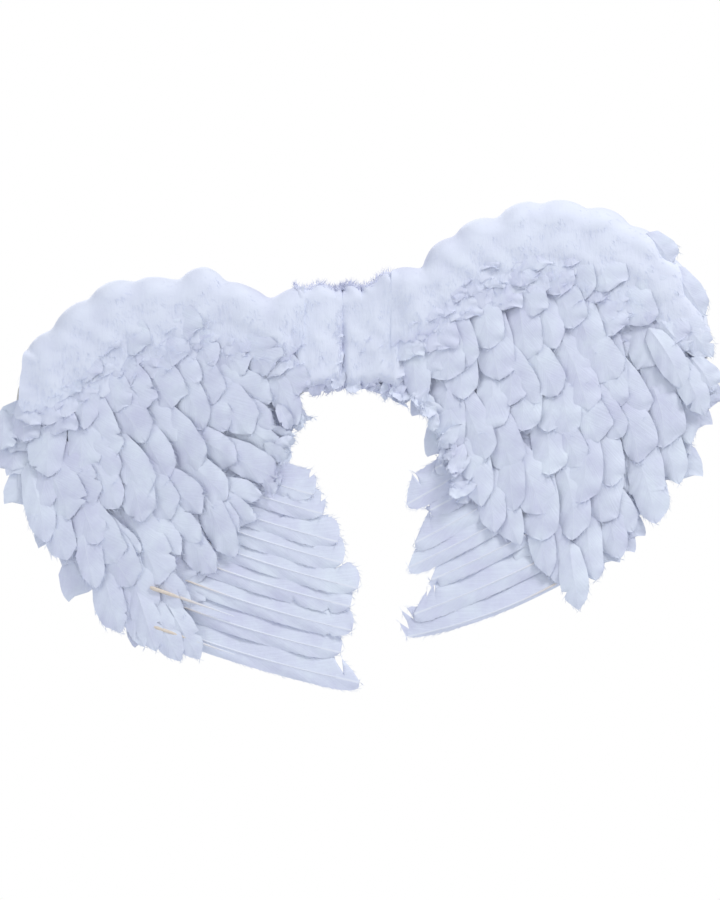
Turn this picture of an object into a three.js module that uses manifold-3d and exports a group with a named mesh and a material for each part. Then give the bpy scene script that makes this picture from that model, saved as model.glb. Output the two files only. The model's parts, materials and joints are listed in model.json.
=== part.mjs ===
// Feather fairy wings: two card wings covered in goose feathers, folding about a short card
// spine and worn on two elastic arm loops.
// Millimetres, +Z up. The feathered face looks towards -Y and the wearer's back is at +Y.
// The origin is the middle of the back pad's outer face.
import * as THREE from 'three';
import Module from 'manifold-3d';
import { mergeVertices } from 'three/addons/utils/BufferGeometryUtils.js';

const wasm = await Module();
wasm.setup();

// ---------- driving dimensions ----------
const GAP = 0.3; // clearance between glued layers

const PAD_WIDTH = 34;
const PAD_HEIGHT = 64;
const PAD_THICKNESS = 3.7;
const PAD_CORNER = 7;

const CARD_THICKNESS = 3;
const SPINE_HALF_WIDTH = 20; // the fold lines stand this far from the middle
const SPINE_HEIGHT = 100;
const FOLD_GAP = 0.2; // each card edge stops this far from its fold line
const MITRE = THREE.MathUtils.degToRad(37); // bevel of both card edges at a fold
const BOARD_TOP_INSET = 12; // the card stays this far inside the crest
const BOARD_TRAIL_INSET = 18; // and this far inside the lowest row of coverts
const MAX_INSET_SHARE = 0.4; // where the wing is narrow an inset takes at most this share

const FELT_THICKNESS = 0.8;
const FELT_FOLD_INSET = 3; // the felt's edge stops short of the fold line

const WIRE_DIAMETER = 2.5;
const WIRE_INSET = 22; // the stiffening wire runs this far below the crest
const WIRE_SIDES = 8;
const WIRE_STEPS = 34;

const WING_SCALE = 1; // grows both wings outwards from the spine, with longer flight feathers
const PLUMAGE_START = 12; // feathers begin this far outboard of a fold line
const FLIGHT_THICKNESS = 1.7;
const FLIGHT_WIDTH = 31;
const FLIGHT_SPACING = 18; // least distance between the shafts of two neighbours
const FLIGHT_SAG = 5; // how far a flight feather's shaft bows downwards
const QUILL_WIDTH = 4;
const COVERT_THICKNESS = 2.7; // one row of coverts as it lies on the next
const COVERT_PITCH = 40; // width of one feather tip along a row
const COVERT_TIP = 9; // how far the rounded tips stand out of their row
const COVERT_ROWS = [1, 0.8, 0.6, 0.41, 0.22]; // row ends, from the lowest row up

const DOWN_DEPTH = 42; // depth of the down band under the crest
const DOWN_END_SHARE = 0.4; // the band narrows to this share at the outer end
const DOWN_PROUD = 3; // the band stands this far in front of the top row of coverts
const DOWN_PITCH = 46;
const DOWN_LOBE = 8;
const DOWN_END_NARROWING = 4; // power that keeps the band wide until near its end

const CENTRE_DOWN_WIDTH = 32;
const CENTRE_DOWN_THICKNESS = 6.4;
const CENTRE_DOWN_CORNER = 10;

const STRAP_WIDTH = 10;
const STRAP_THICKNESS = 1.2;
const STRAP_SPACING = 11; // from the middle to each strap's centre line
const STRAP_END_LENGTH = 6;
const STRAP_BEND = 6; // bend radius where the loop turns away from the pad
const STRAP_REACH = 120;
const STRAP_SPLAY = THREE.MathUtils.degToRad(15);

// Crest and lower covert edge of each wing, as distance outboard of the fold line and height,
// point for point from the fold outwards. A feather rooted near a crest point lies roughly
// towards the edge point of the same number.
const LEFT = {
  name: 'left',
  side: -1,
  crest: [
    [PLUMAGE_START, 46], [32, 43], [50, 36], [78, 42], [103, 55], [128, 64], [155, 52],
    [185, 54], [213, 49], [240, 34], [265, 13], [286, -6], [301, -32],
  ],
  edge: [
    [PLUMAGE_START, -60], [25, -74], [40, -92], [46, -118], [64, -152], [94, -203], [138, -262],
    [178, -300], [218, -272], [256, -226], [292, -180], [317, -120], [314, -64],
  ],
  // the tip's place, the length and the degrees of fall of each flight feather, lowest first
  flights: [
    [-27, -342, 226, 17], [-24, -317, 214, 17.5], [-25, -292, 200, 18], [-30, -270, 200, 18],
    [-28, -249, 195, 18.5], [-20, -226, 190, 19], [-9, -203, 185, 19], [-5, -179, 180, 19.5],
    [13, -157, 170, 20],
  ],
};
const RIGHT = {
  name: 'right',
  side: 1,
  crest: [
    [PLUMAGE_START, 52], [30, 62], [54, 66], [70, 86], [98, 106], [130, 117], [162, 130],
    [194, 129], [230, 123], [264, 107], [296, 81], [320, 43], [336, 0],
  ],
  edge: [
    [PLUMAGE_START, -46], [34, -58], [60, -70], [76, -98], [82, -128], [98, -158], [130, -188],
    [168, -222], [206, -248], [242, -214], [280, -180], [314, -130], [339, -52],
  ],
  flights: [
    [39, -298, 190, 22], [44, -276, 190, 25], [42, -252, 190, 28], [40, -229, 190, 30],
    [42, -207, 185, 32], [38, -187, 185, 33], [40, -165, 180, 34], [64, -132, 160, 34],
  ],
};

// ---------- layers, from the wearer's side to the feathered face ----------
const CARD_BACK = -(PAD_THICKNESS + GAP);
const CARD_FRONT = CARD_BACK - CARD_THICKNESS;
const FELT_BACK = CARD_BACK + GAP + FELT_THICKNESS;
const FLIGHT_LAYERS = Math.ceil(FLIGHT_WIDTH / (WING_SCALE * FLIGHT_SPACING));
const FLIGHT_STEP = FLIGHT_THICKNESS + GAP;
const COVERT_BACK = CARD_FRONT - GAP - FLIGHT_LAYERS * FLIGHT_STEP;
const COVERT_STEP = COVERT_THICKNESS + GAP;
const COVERT_FRONT = COVERT_BACK - COVERT_ROWS.length * COVERT_STEP + GAP;
const DOWN_BACK = CARD_FRONT - 2 * GAP - WIRE_DIAMETER;
const STRAP_Y = -STRAP_THICKNESS / 2; // flush with the pad's outer face

// ---------- materials ----------
const finish = (color, roughness) => new THREE.MeshStandardMaterial({ color, roughness, metalness: 0 });
const plumage = () => finish(0xe3e7f4, 0.75);
const down = () => finish(0xeceff8, 0.9);
const card = () => finish(0xe9e6de, 0.85);
const felt = () => finish(0xf1f1ef, 0.95);
const elastic = () => finish(0xf4f4f4, 0.8);
const wireCoat = () => new THREE.MeshStandardMaterial({ color: 0xb9bcc2, roughness: 0.4, metalness: 0.8 });

// ---------- shaping helpers ----------
const wings = new THREE.Group();

function add(name, geometry, material, parent = wings) {
  const mesh = new THREE.Mesh(geometry, material);
  mesh.name = name;
  parent.add(mesh);
  return mesh;
}

/** A flat plate drawn in X and Z, from its back face at y = back towards -Y. */
function plate(outline, back, thickness) {
  const geometry = new THREE.ExtrudeGeometry(new THREE.Shape(outline), {
    depth: thickness,
    bevelEnabled: false,
    curveSegments: 6,
  });
  const basis = new THREE.Matrix4().makeBasis(
    new THREE.Vector3(1, 0, 0),
    new THREE.Vector3(0, 0, 1),
    new THREE.Vector3(0, -1, 0),
  );
  return geometry.applyMatrix4(basis).translate(0, back, 0);
}

function solid(geometry) {
  const bare = geometry.clone();
  bare.deleteAttribute('normal');
  bare.deleteAttribute('uv');
  const merged = mergeVertices(bare, 1e-4);
  return new wasm.Manifold(new wasm.Mesh({
    numProp: 3,
    vertProperties: new Float32Array(merged.attributes.position.array),
    triVerts: new Uint32Array(merged.index.array),
  }));
}

function geometryOf(manifold) {
  const { vertProperties, triVerts } = manifold.getMesh();
  const geometry = new THREE.BufferGeometry();
  geometry.setAttribute('position', new THREE.BufferAttribute(vertProperties, 3));
  geometry.setIndex(new THREE.BufferAttribute(triVerts, 1));
  return geometry;
}

function roundedOutline(width, height, corner) {
  const x = width / 2 - corner;
  const z = height / 2 - corner;
  const outline = [];
  const corners = [[x, z, 0], [-x, z, 1], [-x, -z, 2], [x, -z, 3]];
  for (const [cx, cz, quarter] of corners) {
    for (let step = 0; step <= 4; step += 1) {
      const angle = (quarter + step / 4) * (Math.PI / 2);
      outline.push(new THREE.Vector2(cx + corner * Math.cos(angle), cz + corner * Math.sin(angle)));
    }
  }
  return outline;
}

// ---------- the patch between a wing's crest and its lower covert edge ----------
/** A place given as distance outboard of a wing's fold line and height. */
const placeOn = (wing) => ([out, z]) => new THREE.Vector2(
  wing.side * (SPINE_HALF_WIDTH + WING_SCALE * out),
  WING_SCALE * z,
);

function patchOf(wing) {
  const crest = new THREE.SplineCurve(wing.crest.map(placeOn(wing)));
  const edge = new THREE.SplineCurve(wing.edge.map(placeOn(wing)));
  const at = (u, share) => crest.getPoint(u).lerp(edge.getPoint(u), share);
  const drop = (u) => crest.getPoint(u).distanceTo(edge.getPoint(u));
  return { at, drop };
}

/** A curve across the wing; shareAt(u, drop) says how far down the patch it runs. */
function rowCurve(patch, shareAt) {
  const samples = 26;
  const points = [];
  for (let i = 0; i <= samples; i += 1) {
    const u = i / samples;
    points.push(patch.at(u, shareAt(u, patch.drop(u))));
  }
  return new THREE.SplineCurve(points);
}

const insetShare = (inset) => (u, drop) => Math.min(inset / drop, MAX_INSET_SHARE);
const trailShare = (inset) => (u, drop) => 1 - Math.min(inset / drop, MAX_INSET_SHARE);

/** How far down the patch the down band's lower edge lies, extra millimetres lower if asked. */
const downShare = (extra) => (u, drop) => {
  const taper = u ** DOWN_END_NARROWING;
  const depth = DOWN_DEPTH * (1 - taper) + DOWN_END_SHARE * drop * taper;
  return (depth + extra) / drop;
};

/** Rounded feather tips standing out of a curve, to its left or right by the sign of reach. */
function scalloped(curve, pitch, reach) {
  const count = Math.round(curve.getLength() / pitch);
  const points = [];
  for (let tip = 0; tip < count; tip += 1) {
    for (const across of [0, 0.18, 0.5, 0.82]) {
      const at = (tip + across) / count;
      const tangent = curve.getTangentAt(at);
      const outward = new THREE.Vector2(-tangent.y, tangent.x);
      const rise = reach * Math.sqrt(Math.sin(Math.PI * across));
      points.push(curve.getPointAt(at).addScaledVector(outward, rise));
    }
  }
  points.push(curve.getPointAt(1));
  return points;
}

// ---------- the wing's pieces ----------
function boardOutline(wing, patch, foldInset) {
  const foldX = wing.side * (SPINE_HALF_WIDTH + foldInset);
  const top = rowCurve(patch, insetShare(BOARD_TOP_INSET)).getSpacedPoints(28);
  const trail = rowCurve(patch, trailShare(BOARD_TRAIL_INSET)).getSpacedPoints(36).reverse();
  return [
    new THREE.Vector2(foldX, SPINE_HEIGHT / 2),
    ...top.slice(1),
    ...trail.slice(0, -1),
    new THREE.Vector2(foldX, -SPINE_HEIGHT / 2),
  ];
}

/** The mitre that lets a card edge turn about the fold line on its back face. */
function mitreCut(side) {
  const foldX = side * (SPINE_HALF_WIDTH + FOLD_GAP);
  const reach = 2 * CARD_THICKNESS;
  const section = new THREE.Shape([
    new THREE.Vector2(foldX, CARD_BACK),
    new THREE.Vector2(foldX + side * reach * Math.tan(MITRE), CARD_BACK - reach),
    new THREE.Vector2(foldX - side * reach, CARD_BACK - reach),
    new THREE.Vector2(foldX - side * reach, CARD_BACK),
  ]);
  const length = 2 * SPINE_HEIGHT;
  const cut = new THREE.ExtrudeGeometry(section, { depth: length, bevelEnabled: false });
  return cut.translate(0, 0, -length / 2);
}

function addBoard(wing, patch) {
  const blank = solid(plate(boardOutline(wing, patch, FOLD_GAP), CARD_BACK, CARD_THICKNESS));
  const board = blank.subtract(solid(mitreCut(wing.side)));
  add(`${wing.name}_board`, geometryOf(board), card());
  const cover = plate(boardOutline(wing, patch, FELT_FOLD_INSET), FELT_BACK, FELT_THICKNESS);
  add(`${wing.name}_felt_back`, cover, felt());
}

function addWire(wing, patch) {
  const y = CARD_FRONT - GAP - WIRE_DIAMETER / 2;
  const route = rowCurve(patch, insetShare(WIRE_INSET)).getSpacedPoints(18);
  const path = new THREE.CatmullRomCurve3(route.map((p) => new THREE.Vector3(p.x, y, p.y)));
  const section = new THREE.Shape();
  for (let i = 0; i < WIRE_SIDES; i += 1) {
    const angle = (i / WIRE_SIDES) * 2 * Math.PI;
    const corner = [WIRE_DIAMETER / 2 * Math.cos(angle), WIRE_DIAMETER / 2 * Math.sin(angle)];
    if (i === 0) section.moveTo(...corner);
    else section.lineTo(...corner);
  }
  const sweep = { extrudePath: path, steps: WIRE_STEPS, bevelEnabled: false };
  const geometry = new THREE.ExtrudeGeometry(section, sweep);
  add(`${wing.name}_wire`, geometry, wireCoat());
}

function addCoverts(wing, patch) {
  const top = rowCurve(patch, downShare(GAP)).getSpacedPoints(28);
  COVERT_ROWS.forEach((share, row) => {
    const reach = (u, drop) => {
      const start = downShare(GAP)(u, drop);
      return start + share * (1 - start);
    };
    const tips = scalloped(rowCurve(patch, reach), COVERT_PITCH, wing.side * -COVERT_TIP);
    const outline = [...top, ...tips.reverse()];
    const back = COVERT_BACK - row * COVERT_STEP;
    add(`${wing.name}_covert_row_${row + 1}`, plate(outline, back, COVERT_THICKNESS), plumage());
  });
}

function addDown(wing, patch) {
  const lower = rowCurve(patch, downShare(0)).getSpacedPoints(28).reverse();
  const lobes = scalloped(rowCurve(patch, () => 0), DOWN_PITCH, wing.side * DOWN_LOBE);
  const thickness = DOWN_BACK - COVERT_FRONT + DOWN_PROUD;
  add(`${wing.name}_down_band`, plate([...lobes, ...lower], DOWN_BACK, thickness), down());
}

/** Half the width of a flight feather at a share of its length: bare quill, vane, rounded tip. */
function flightHalfWidth(share) {
  const quillEnd = 0.12;
  const full = 0.3;
  const tipStart = 0.82;
  if (share < quillEnd) return QUILL_WIDTH / 2;
  const rise = THREE.MathUtils.smoothstep(share, quillEnd, full);
  const body = QUILL_WIDTH / 2 + rise * (FLIGHT_WIDTH - QUILL_WIDTH) / 2;
  if (share < tipStart) return body;
  const round = (share - tipStart) / (1 - tipStart);
  return body * Math.sqrt(Math.max(0, 1 - round * round));
}

function flightOutline(wing, [tipOut, tipZ, length, fall]) {
  const angle = THREE.MathUtils.degToRad(fall);
  const along = new THREE.Vector2(-wing.side * Math.cos(angle), -Math.sin(angle));
  const across = new THREE.Vector2(-wing.side * Math.sin(angle), Math.cos(angle));
  const reach = WING_SCALE * length;
  const root = placeOn(wing)([tipOut, tipZ]).addScaledVector(along, -reach);
  const shaft = (share) => root.clone()
    .addScaledVector(along, share * reach)
    .addScaledVector(across, -4 * FLIGHT_SAG * share * (1 - share));
  const stations = [0, 0.12, 0.18, 0.24, 0.3, 0.55, 0.82, 0.9, 0.96];
  const left = stations.map((s) => shaft(s).addScaledVector(across, flightHalfWidth(s)));
  const right = stations.map((s) => shaft(s).addScaledVector(across, -flightHalfWidth(s)));
  return [...left, shaft(1), ...right.reverse()];
}

/** Flight feathers lap their neighbours: from the lowest one up, each lies a layer nearer the card. */
function addFlights(wing) {
  wing.flights.forEach((feather, index) => {
    const layer = FLIGHT_LAYERS - 1 - (index % FLIGHT_LAYERS);
    const back = CARD_FRONT - GAP - layer * FLIGHT_STEP;
    const blade = plate(flightOutline(wing, feather), back, FLIGHT_THICKNESS);
    add(`${wing.name}_flight_${index + 1}`, blade, plumage());
  });
}

function addWing(wing) {
  const patch = patchOf(wing);
  addBoard(wing, patch);
  addWire(wing, patch);
  addCoverts(wing, patch);
  addDown(wing, patch);
  addFlights(wing);
}

// ---------- the spine and what is fixed to it ----------
function addSpine() {
  const backX = SPINE_HALF_WIDTH - FOLD_GAP;
  const frontX = backX - CARD_THICKNESS * Math.tan(MITRE);
  const section = new THREE.Shape([
    new THREE.Vector2(-backX, CARD_BACK),
    new THREE.Vector2(-frontX, CARD_FRONT),
    new THREE.Vector2(frontX, CARD_FRONT),
    new THREE.Vector2(backX, CARD_BACK),
  ]);
  const strip = new THREE.ExtrudeGeometry(section, { depth: SPINE_HEIGHT, bevelEnabled: false });
  add('spine_card', strip.translate(0, 0, -SPINE_HEIGHT / 2), card());
  add('back_pad', plate(roundedOutline(PAD_WIDTH, PAD_HEIGHT, PAD_CORNER), 0, PAD_THICKNESS), felt());
  const puff = roundedOutline(CENTRE_DOWN_WIDTH, SPINE_HEIGHT, CENTRE_DOWN_CORNER);
  add('centre_down', plate(puff, CARD_FRONT - GAP, CENTRE_DOWN_THICKNESS), down());
}

// ---------- the elastic arm loops ----------
/** The loop's centre line in a plane through its axis: distance from the axis, and height. */
function loopRoute() {
  const startZ = PAD_HEIGHT / 2 + 2 * GAP + STRAP_END_LENGTH;
  const topZ = startZ + STRAP_BEND;
  const endRun = STRAP_REACH - topZ;
  const route = [];
  for (let step = 0; step <= 4; step += 1) {
    const angle = (step / 4) * (Math.PI / 2);
    route.push([STRAP_BEND * (1 - Math.cos(angle)), startZ + STRAP_BEND * Math.sin(angle)]);
  }
  for (let step = 0; step <= 12; step += 1) {
    const angle = Math.PI / 2 - (step / 12) * Math.PI;
    route.push([endRun + topZ * Math.cos(angle), topZ * Math.sin(angle)]);
  }
  for (let step = 4; step >= 0; step -= 1) {
    const [reach, z] = route[step];
    route.push([reach, -z]);
  }
  return route.map(([reach, z]) => new THREE.Vector2(reach, z));
}

function loopOutline() {
  const route = loopRoute();
  const offset = (index, distance) => {
    const before = route[Math.max(index - 1, 0)];
    const after = route[Math.min(index + 1, route.length - 1)];
    const tangent = after.clone().sub(before).normalize();
    if (before === route[index] || after === route[index]) tangent.set(0, 1);
    return route[index].clone().add(new THREE.Vector2(-tangent.y, tangent.x).multiplyScalar(distance));
  };
  const outer = route.map((point, index) => offset(index, STRAP_THICKNESS / 2));
  const innerSide = route.map((point, index) => offset(index, -STRAP_THICKNESS / 2));
  return [...outer, ...innerSide.reverse()];
}

function addStrap(name, side) {
  const holder = new THREE.Group();
  holder.position.set(side * STRAP_SPACING, STRAP_Y, 0);
  wings.add(holder);
  const endHeight = PAD_HEIGHT / 2 + GAP + STRAP_END_LENGTH / 2;
  for (const [place, z] of [['upper', endHeight], ['lower', -endHeight]]) {
    const end = new THREE.BoxGeometry(STRAP_WIDTH, STRAP_THICKNESS, STRAP_END_LENGTH);
    add(`${name}_strap_end_${place}`, end, elastic(), holder).position.z = z;
  }
  const loop = new THREE.ExtrudeGeometry(new THREE.Shape(loopOutline()), {
    depth: STRAP_WIDTH,
    bevelEnabled: false,
  });
  const basis = new THREE.Matrix4().makeBasis(
    new THREE.Vector3(0, 1, 0),
    new THREE.Vector3(0, 0, 1),
    new THREE.Vector3(1, 0, 0),
  );
  loop.translate(0, 0, -STRAP_WIDTH / 2).applyMatrix4(basis);
  add(`${name}_strap`, loop, elastic(), holder).rotation.z = -side * STRAP_SPLAY;
}

addSpine();
for (const wing of [LEFT, RIGHT]) {
  addWing(wing);
  addStrap(wing.name, wing.side);
}

export default wings;
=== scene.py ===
"""Dresses the feather fairy wings: coverts, flight feathers, down, felt, pad and elastic."""

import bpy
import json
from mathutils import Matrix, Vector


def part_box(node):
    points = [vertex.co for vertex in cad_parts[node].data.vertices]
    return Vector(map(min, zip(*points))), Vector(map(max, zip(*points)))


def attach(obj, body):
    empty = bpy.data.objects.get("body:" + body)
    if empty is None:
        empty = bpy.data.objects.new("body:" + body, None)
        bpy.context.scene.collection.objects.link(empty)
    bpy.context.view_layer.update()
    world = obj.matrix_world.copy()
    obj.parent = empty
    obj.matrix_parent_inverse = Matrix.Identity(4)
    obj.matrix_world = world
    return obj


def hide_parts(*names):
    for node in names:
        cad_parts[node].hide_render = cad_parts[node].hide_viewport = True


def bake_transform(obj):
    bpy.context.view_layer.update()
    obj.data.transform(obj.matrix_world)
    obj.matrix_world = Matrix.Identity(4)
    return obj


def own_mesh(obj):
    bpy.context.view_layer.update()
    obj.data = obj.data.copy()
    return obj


bl_info = {
    "name": "Feather Fairy Wings",
    "version": (1, 0, 0),
    "blender": (4, 5, 0),
    "location": "View3D > Sidebar > Wings",
    "description": "Builds the feathers, felt and elastic of a pair of costume wings on their card frame",
    "category": "Add Mesh",
}

import json
import math

import bpy
import numpy as np
from bpy.props import FloatProperty, FloatVectorProperty, IntProperty, PointerProperty
from mathutils import Vector
from mathutils.geometry import delaunay_2d_cdt

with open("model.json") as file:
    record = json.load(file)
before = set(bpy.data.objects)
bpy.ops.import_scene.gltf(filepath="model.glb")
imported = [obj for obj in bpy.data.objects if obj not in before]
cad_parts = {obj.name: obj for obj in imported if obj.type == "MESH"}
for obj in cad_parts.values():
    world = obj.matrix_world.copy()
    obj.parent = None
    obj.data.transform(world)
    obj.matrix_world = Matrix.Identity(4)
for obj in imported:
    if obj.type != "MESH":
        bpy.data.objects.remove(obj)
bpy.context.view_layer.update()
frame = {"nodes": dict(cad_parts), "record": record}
SIDES = ("left", "right")
ROWS = (1, 2, 3, 4, 5)
WAY_OUT = {"left": -1, "right": 1}
SHOW_SIDE = np.array([0.0, -1.0, 0.0])
STRAIGHT_DOWN = np.array([0.0, -1.0])
QUILL_SLOT = 1

# The way the coverts lean, in degrees from straight down towards +X, at places (x, z) in metres.
LEAN = {
    "left": [
        (-0.030, 0.020, 4), (-0.045, -0.040, 30), (-0.084, -0.072, 58), (-0.095, -0.129, 60),
        (-0.077, -0.156, 68), (-0.106, -0.046, 35), (-0.108, -0.136, 47), (-0.146, -0.024, 17),
        (-0.178, -0.051, 30), (-0.132, -0.087, 34), (-0.187, -0.128, 36), (-0.208, -0.168, 35),
        (-0.148, -0.210, 42), (-0.215, -0.217, 32), (-0.215, -0.102, 24), (-0.245, -0.048, 18),
        (-0.275, -0.137, 22), (-0.270, -0.200, 16), (-0.307, -0.124, 4), (-0.320, -0.060, -8),
        (-0.230, -0.280, 14), (-0.300, -0.030, -4), (-0.315, -0.170, 4),
    ],
    "right": [
        (0.030, 0.020, -2), (0.060, -0.030, 4), (0.083, 0.023, 6), (0.090, -0.090, 2),
        (0.138, -0.032, 11), (0.183, 0.050, 12), (0.233, -0.047, 20), (0.247, -0.107, 24),
        (0.189, -0.107, 7), (0.117, -0.124, 14), (0.140, -0.170, 10), (0.191, -0.210, 10),
        (0.264, -0.018, 20), (0.351, 0.020, 42), (0.358, -0.020, 48), (0.352, -0.074, 30),
        (0.336, -0.117, 14), (0.306, -0.183, 8), (0.230, -0.235, 6), (0.320, 0.080, 46),
        (0.270, -0.190, 8),
    ],
}

# Long pointed feathers that stand out past the coverts: tip x, tip z and lean, as above.
POINTED = {
    "left": [
        (-0.344, -0.112, -3), (-0.147, -0.320, 30), (-0.166, -0.322, 24), (-0.190, -0.312, 18),
    ],
    "right": [
        (0.353, 0.021, 33), (0.361, -0.020, 40), (0.361, -0.054, 34),
        (0.353, -0.078, 26), (0.321, 0.072, 40), (0.326, 0.026, 38), (0.336, -0.014, 42),
        (0.332, -0.052, 30), (0.302, 0.040, 34), (0.229, -0.271, 8),
    ],
}


class PlumageSizes(bpy.types.PropertyGroup):
    """Sizes of the feathers, in the finished wings."""

    covert_width: FloatProperty(
        name="Covert width", description="Width of a body feather", default=0.037, unit="LENGTH")
    covert_length: FloatProperty(
        name="Covert length", description="Length of a body feather, its hidden root included",
        default=0.082, unit="LENGTH")
    covert_spacing: FloatProperty(
        name="Covert spacing", description="Distance across between neighbouring tips",
        default=0.029, unit="LENGTH")
    covert_step: FloatProperty(
        name="Covert step", description="Distance along from one row of tips to the next",
        default=0.039, unit="LENGTH")
    flight_width: FloatProperty(
        name="Flight feather width", description="Width of a flight feather's vane",
        default=0.036, unit="LENGTH")
    down_width: FloatProperty(
        name="Down plume width", description="Width of a down plume", default=0.040, unit="LENGTH")
    down_length: FloatProperty(
        name="Down plume length", description="Length of a down plume", default=0.056, unit="LENGTH")
    barb_pitch: FloatProperty(
        name="Barb pitch", description="Distance from one barb to the next in a vane",
        default=0.0011, unit="LENGTH")
    strands: IntProperty(
        name="Down strands", description="Loose barbs along each wing's cushion of down",
        default=1800, min=100)
    seed: IntProperty(
        name="Seed", description="Changes how the feathers are laid", default=7, min=0)


class PlumageColours(bpy.types.PropertyGroup):
    """Colours of the wings' materials."""

    feather: FloatVectorProperty(
        name="Feather", description="Vane of the feathers", subtype="COLOR", size=3,
        default=(0.76, 0.80, 0.91))
    down: FloatVectorProperty(
        name="Down", description="Fluffy down", subtype="COLOR", size=3, default=(0.77, 0.81, 0.91))
    shaft: FloatVectorProperty(
        name="Shaft", description="Shaft of a feather", subtype="COLOR", size=3,
        default=(0.82, 0.85, 0.94))
    quill: FloatVectorProperty(
        name="Quill", description="Bare root of a flight feather", subtype="COLOR", size=3,
        default=(0.80, 0.70, 0.59))
    felt: FloatVectorProperty(
        name="Felt", description="Felt on the wearer's side", subtype="COLOR", size=3,
        default=(0.84, 0.85, 0.88))
    elastic: FloatVectorProperty(
        name="Elastic", description="Arm loops", subtype="COLOR", size=3, default=(0.86, 0.87, 0.89))
    card: FloatVectorProperty(
        name="Card", description="Boards and spine", subtype="COLOR", size=3,
        default=(0.80, 0.77, 0.70))


# ---------- materials ----------
def new_material(name, roughness, **sockets):
    """A material and its shader; the values that are the same all over go on the shader's sockets."""
    material = bpy.data.materials.new(name)
    material.use_nodes = True
    shader = material.node_tree.nodes["Principled BSDF"]
    shader.inputs["Roughness"].default_value = roughness
    for socket, value in sockets.items():
        shader.inputs[socket.replace("_", " ")].default_value = value
    return material, shader


def node(material, kind, **settings):
    made = material.node_tree.nodes.new(kind)
    for key, value in settings.items():
        setattr(made, key, value)
    return made


def link(material, source, target):
    material.node_tree.links.new(source, target)


def maths(material, operation, a, b=None):
    """A maths node on two values or sockets; returns its output."""
    made = node(material, "ShaderNodeMath", operation=operation)
    for socket, value in zip(made.inputs, (a, b)):
        if value is None:
            continue
        if isinstance(value, (int, float)):
            socket.default_value = value
        else:
            link(material, value, socket)
    return made.outputs[0]


def blend_colours(material, share, low, high):
    made = node(material, "ShaderNodeMix", data_type="RGBA")
    link(material, share, made.inputs[0])
    for socket, value in ((made.inputs[6], low), (made.inputs[7], high)):
        if hasattr(value, "is_linked"):
            link(material, value, socket)
        else:
            socket.default_value = (*value, 1.0)
    return made.outputs[2]


def noise(material, scale, detail=3.0, roughness=0.5, vector=None):
    made = node(material, "ShaderNodeTexNoise")
    made.inputs["Scale"].default_value = scale
    made.inputs["Detail"].default_value = detail
    made.inputs["Roughness"].default_value = roughness
    if vector is None:
        vector = node(material, "ShaderNodeTexCoord").outputs["Object"]
    link(material, vector, made.inputs["Vector"])
    return made.outputs["Fac"]


def bump(material, shader, height, strength, distance):
    made = node(material, "ShaderNodeBump")
    made.inputs["Strength"].default_value = strength
    made.inputs["Distance"].default_value = distance
    link(material, height, made.inputs["Height"])
    link(material, made.outputs["Normal"], shader.inputs["Normal"])


def barb_map(material):
    """The two measures of the barb map, as sockets: across from the shaft, and along it."""
    barb = node(material, "ShaderNodeUVMap", uv_map="Barb")
    parts = node(material, "ShaderNodeSeparateXYZ")
    link(material, barb.outputs["UV"], parts.inputs[0])
    return parts.outputs[0], parts.outputs[1]


def feather_tone(material):
    """The tone that each feather carries, from 0 to 1; on the cushions of down it also carries painted
    light and shade.
    """
    return node(material, "ShaderNodeAttribute", attribute_name="tone").outputs["Fac"]


def ranged(material, value, start, end, low=0.0, high=1.0):
    """A value carried over from one range to another."""
    made = node(material, "ShaderNodeMapRange")
    link(material, value, made.inputs["Value"])
    for socket, bound in (("From Min", start), ("From Max", end), ("To Min", low), ("To Max", high)):
        made.inputs[socket].default_value = bound
    return made.outputs[0]


def weighed(material, first, second):
    """The sum of two sockets, each times its weight."""
    parts = [maths(material, "MULTIPLY", source, weight) for source, weight in (first, second)]
    return maths(material, "ADD", *parts)


def scaled_place(material, *parts):
    """A place in a pattern: three sockets, each with the scale along it."""
    place = node(material, "ShaderNodeCombineXYZ")
    for target, (source, scale) in zip(place.inputs, parts):
        link(material, maths(material, "MULTIPLY", source, scale), target)
    return place.outputs[0]


def paint(material, shader, share, low, high):
    """Colours a surface with a blend of two colours, by a share that varies over it."""
    link(material, blend_colours(material, share, low, high), shader.inputs["Base Color"])


def shade(colour, factor):
    return tuple(channel * factor for channel in colour)


def tint(colour, factors):
    return tuple(channel * factor for channel, factor in zip(colour, factors))


def vane_material(name, colour, shaft, barb_pitch, slant, relief, contrast, shaft_width):
    """Barbs sweep forward from the shaft. The barb map holds the distance from the shaft and along it."""
    material, shader = new_material(
        name, 0.62, Sheen_Weight=0.25, Sheen_Roughness=0.45, Specular_IOR_Level=0.3)
    across, along = barb_map(material)
    distance = maths(material, "ABSOLUTE", across)
    swept = maths(material, "SUBTRACT", along, maths(material, "MULTIPLY", distance, slant))
    place = scaled_place(
        material, (swept, 1 / barb_pitch), (across, 30.0), (noise(material, 25.0, 2.0), 3.0))
    fibre_share = noise(material, 1.0, 4.0, 0.6, vector=place)
    clouded = weighed(material, (noise(material, 34.0, 5.0, 0.62), 2.4), (feather_tone(material), 0.3))
    mottle = maths(material, "SUBTRACT", clouded, 0.85)
    mottle.node.use_clamp = True
    lavender, pale = tint(colour, (0.90, 0.88, 0.95)), tint(colour, (1.05, 1.07, 1.045))
    streaked = node(material, "ShaderNodeVectorMath", operation="SCALE")
    link(material, blend_colours(material, mottle, lavender, pale), streaked.inputs[0])
    link(material, ranged(material, fibre_share, 0.25, 0.75, 1 - contrast, 1 + contrast),
         streaked.inputs["Scale"])
    shaft_share = ranged(material, distance, shaft_width, shaft_width * 0.35)
    paint(material, shader, shaft_share, streaked.outputs[0], shaft)
    height = maths(material, "ADD", fibre_share, noise(material, 130.0, 4.0, 0.6))
    bump(material, shader, height, 0.4, relief)
    return material


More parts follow.
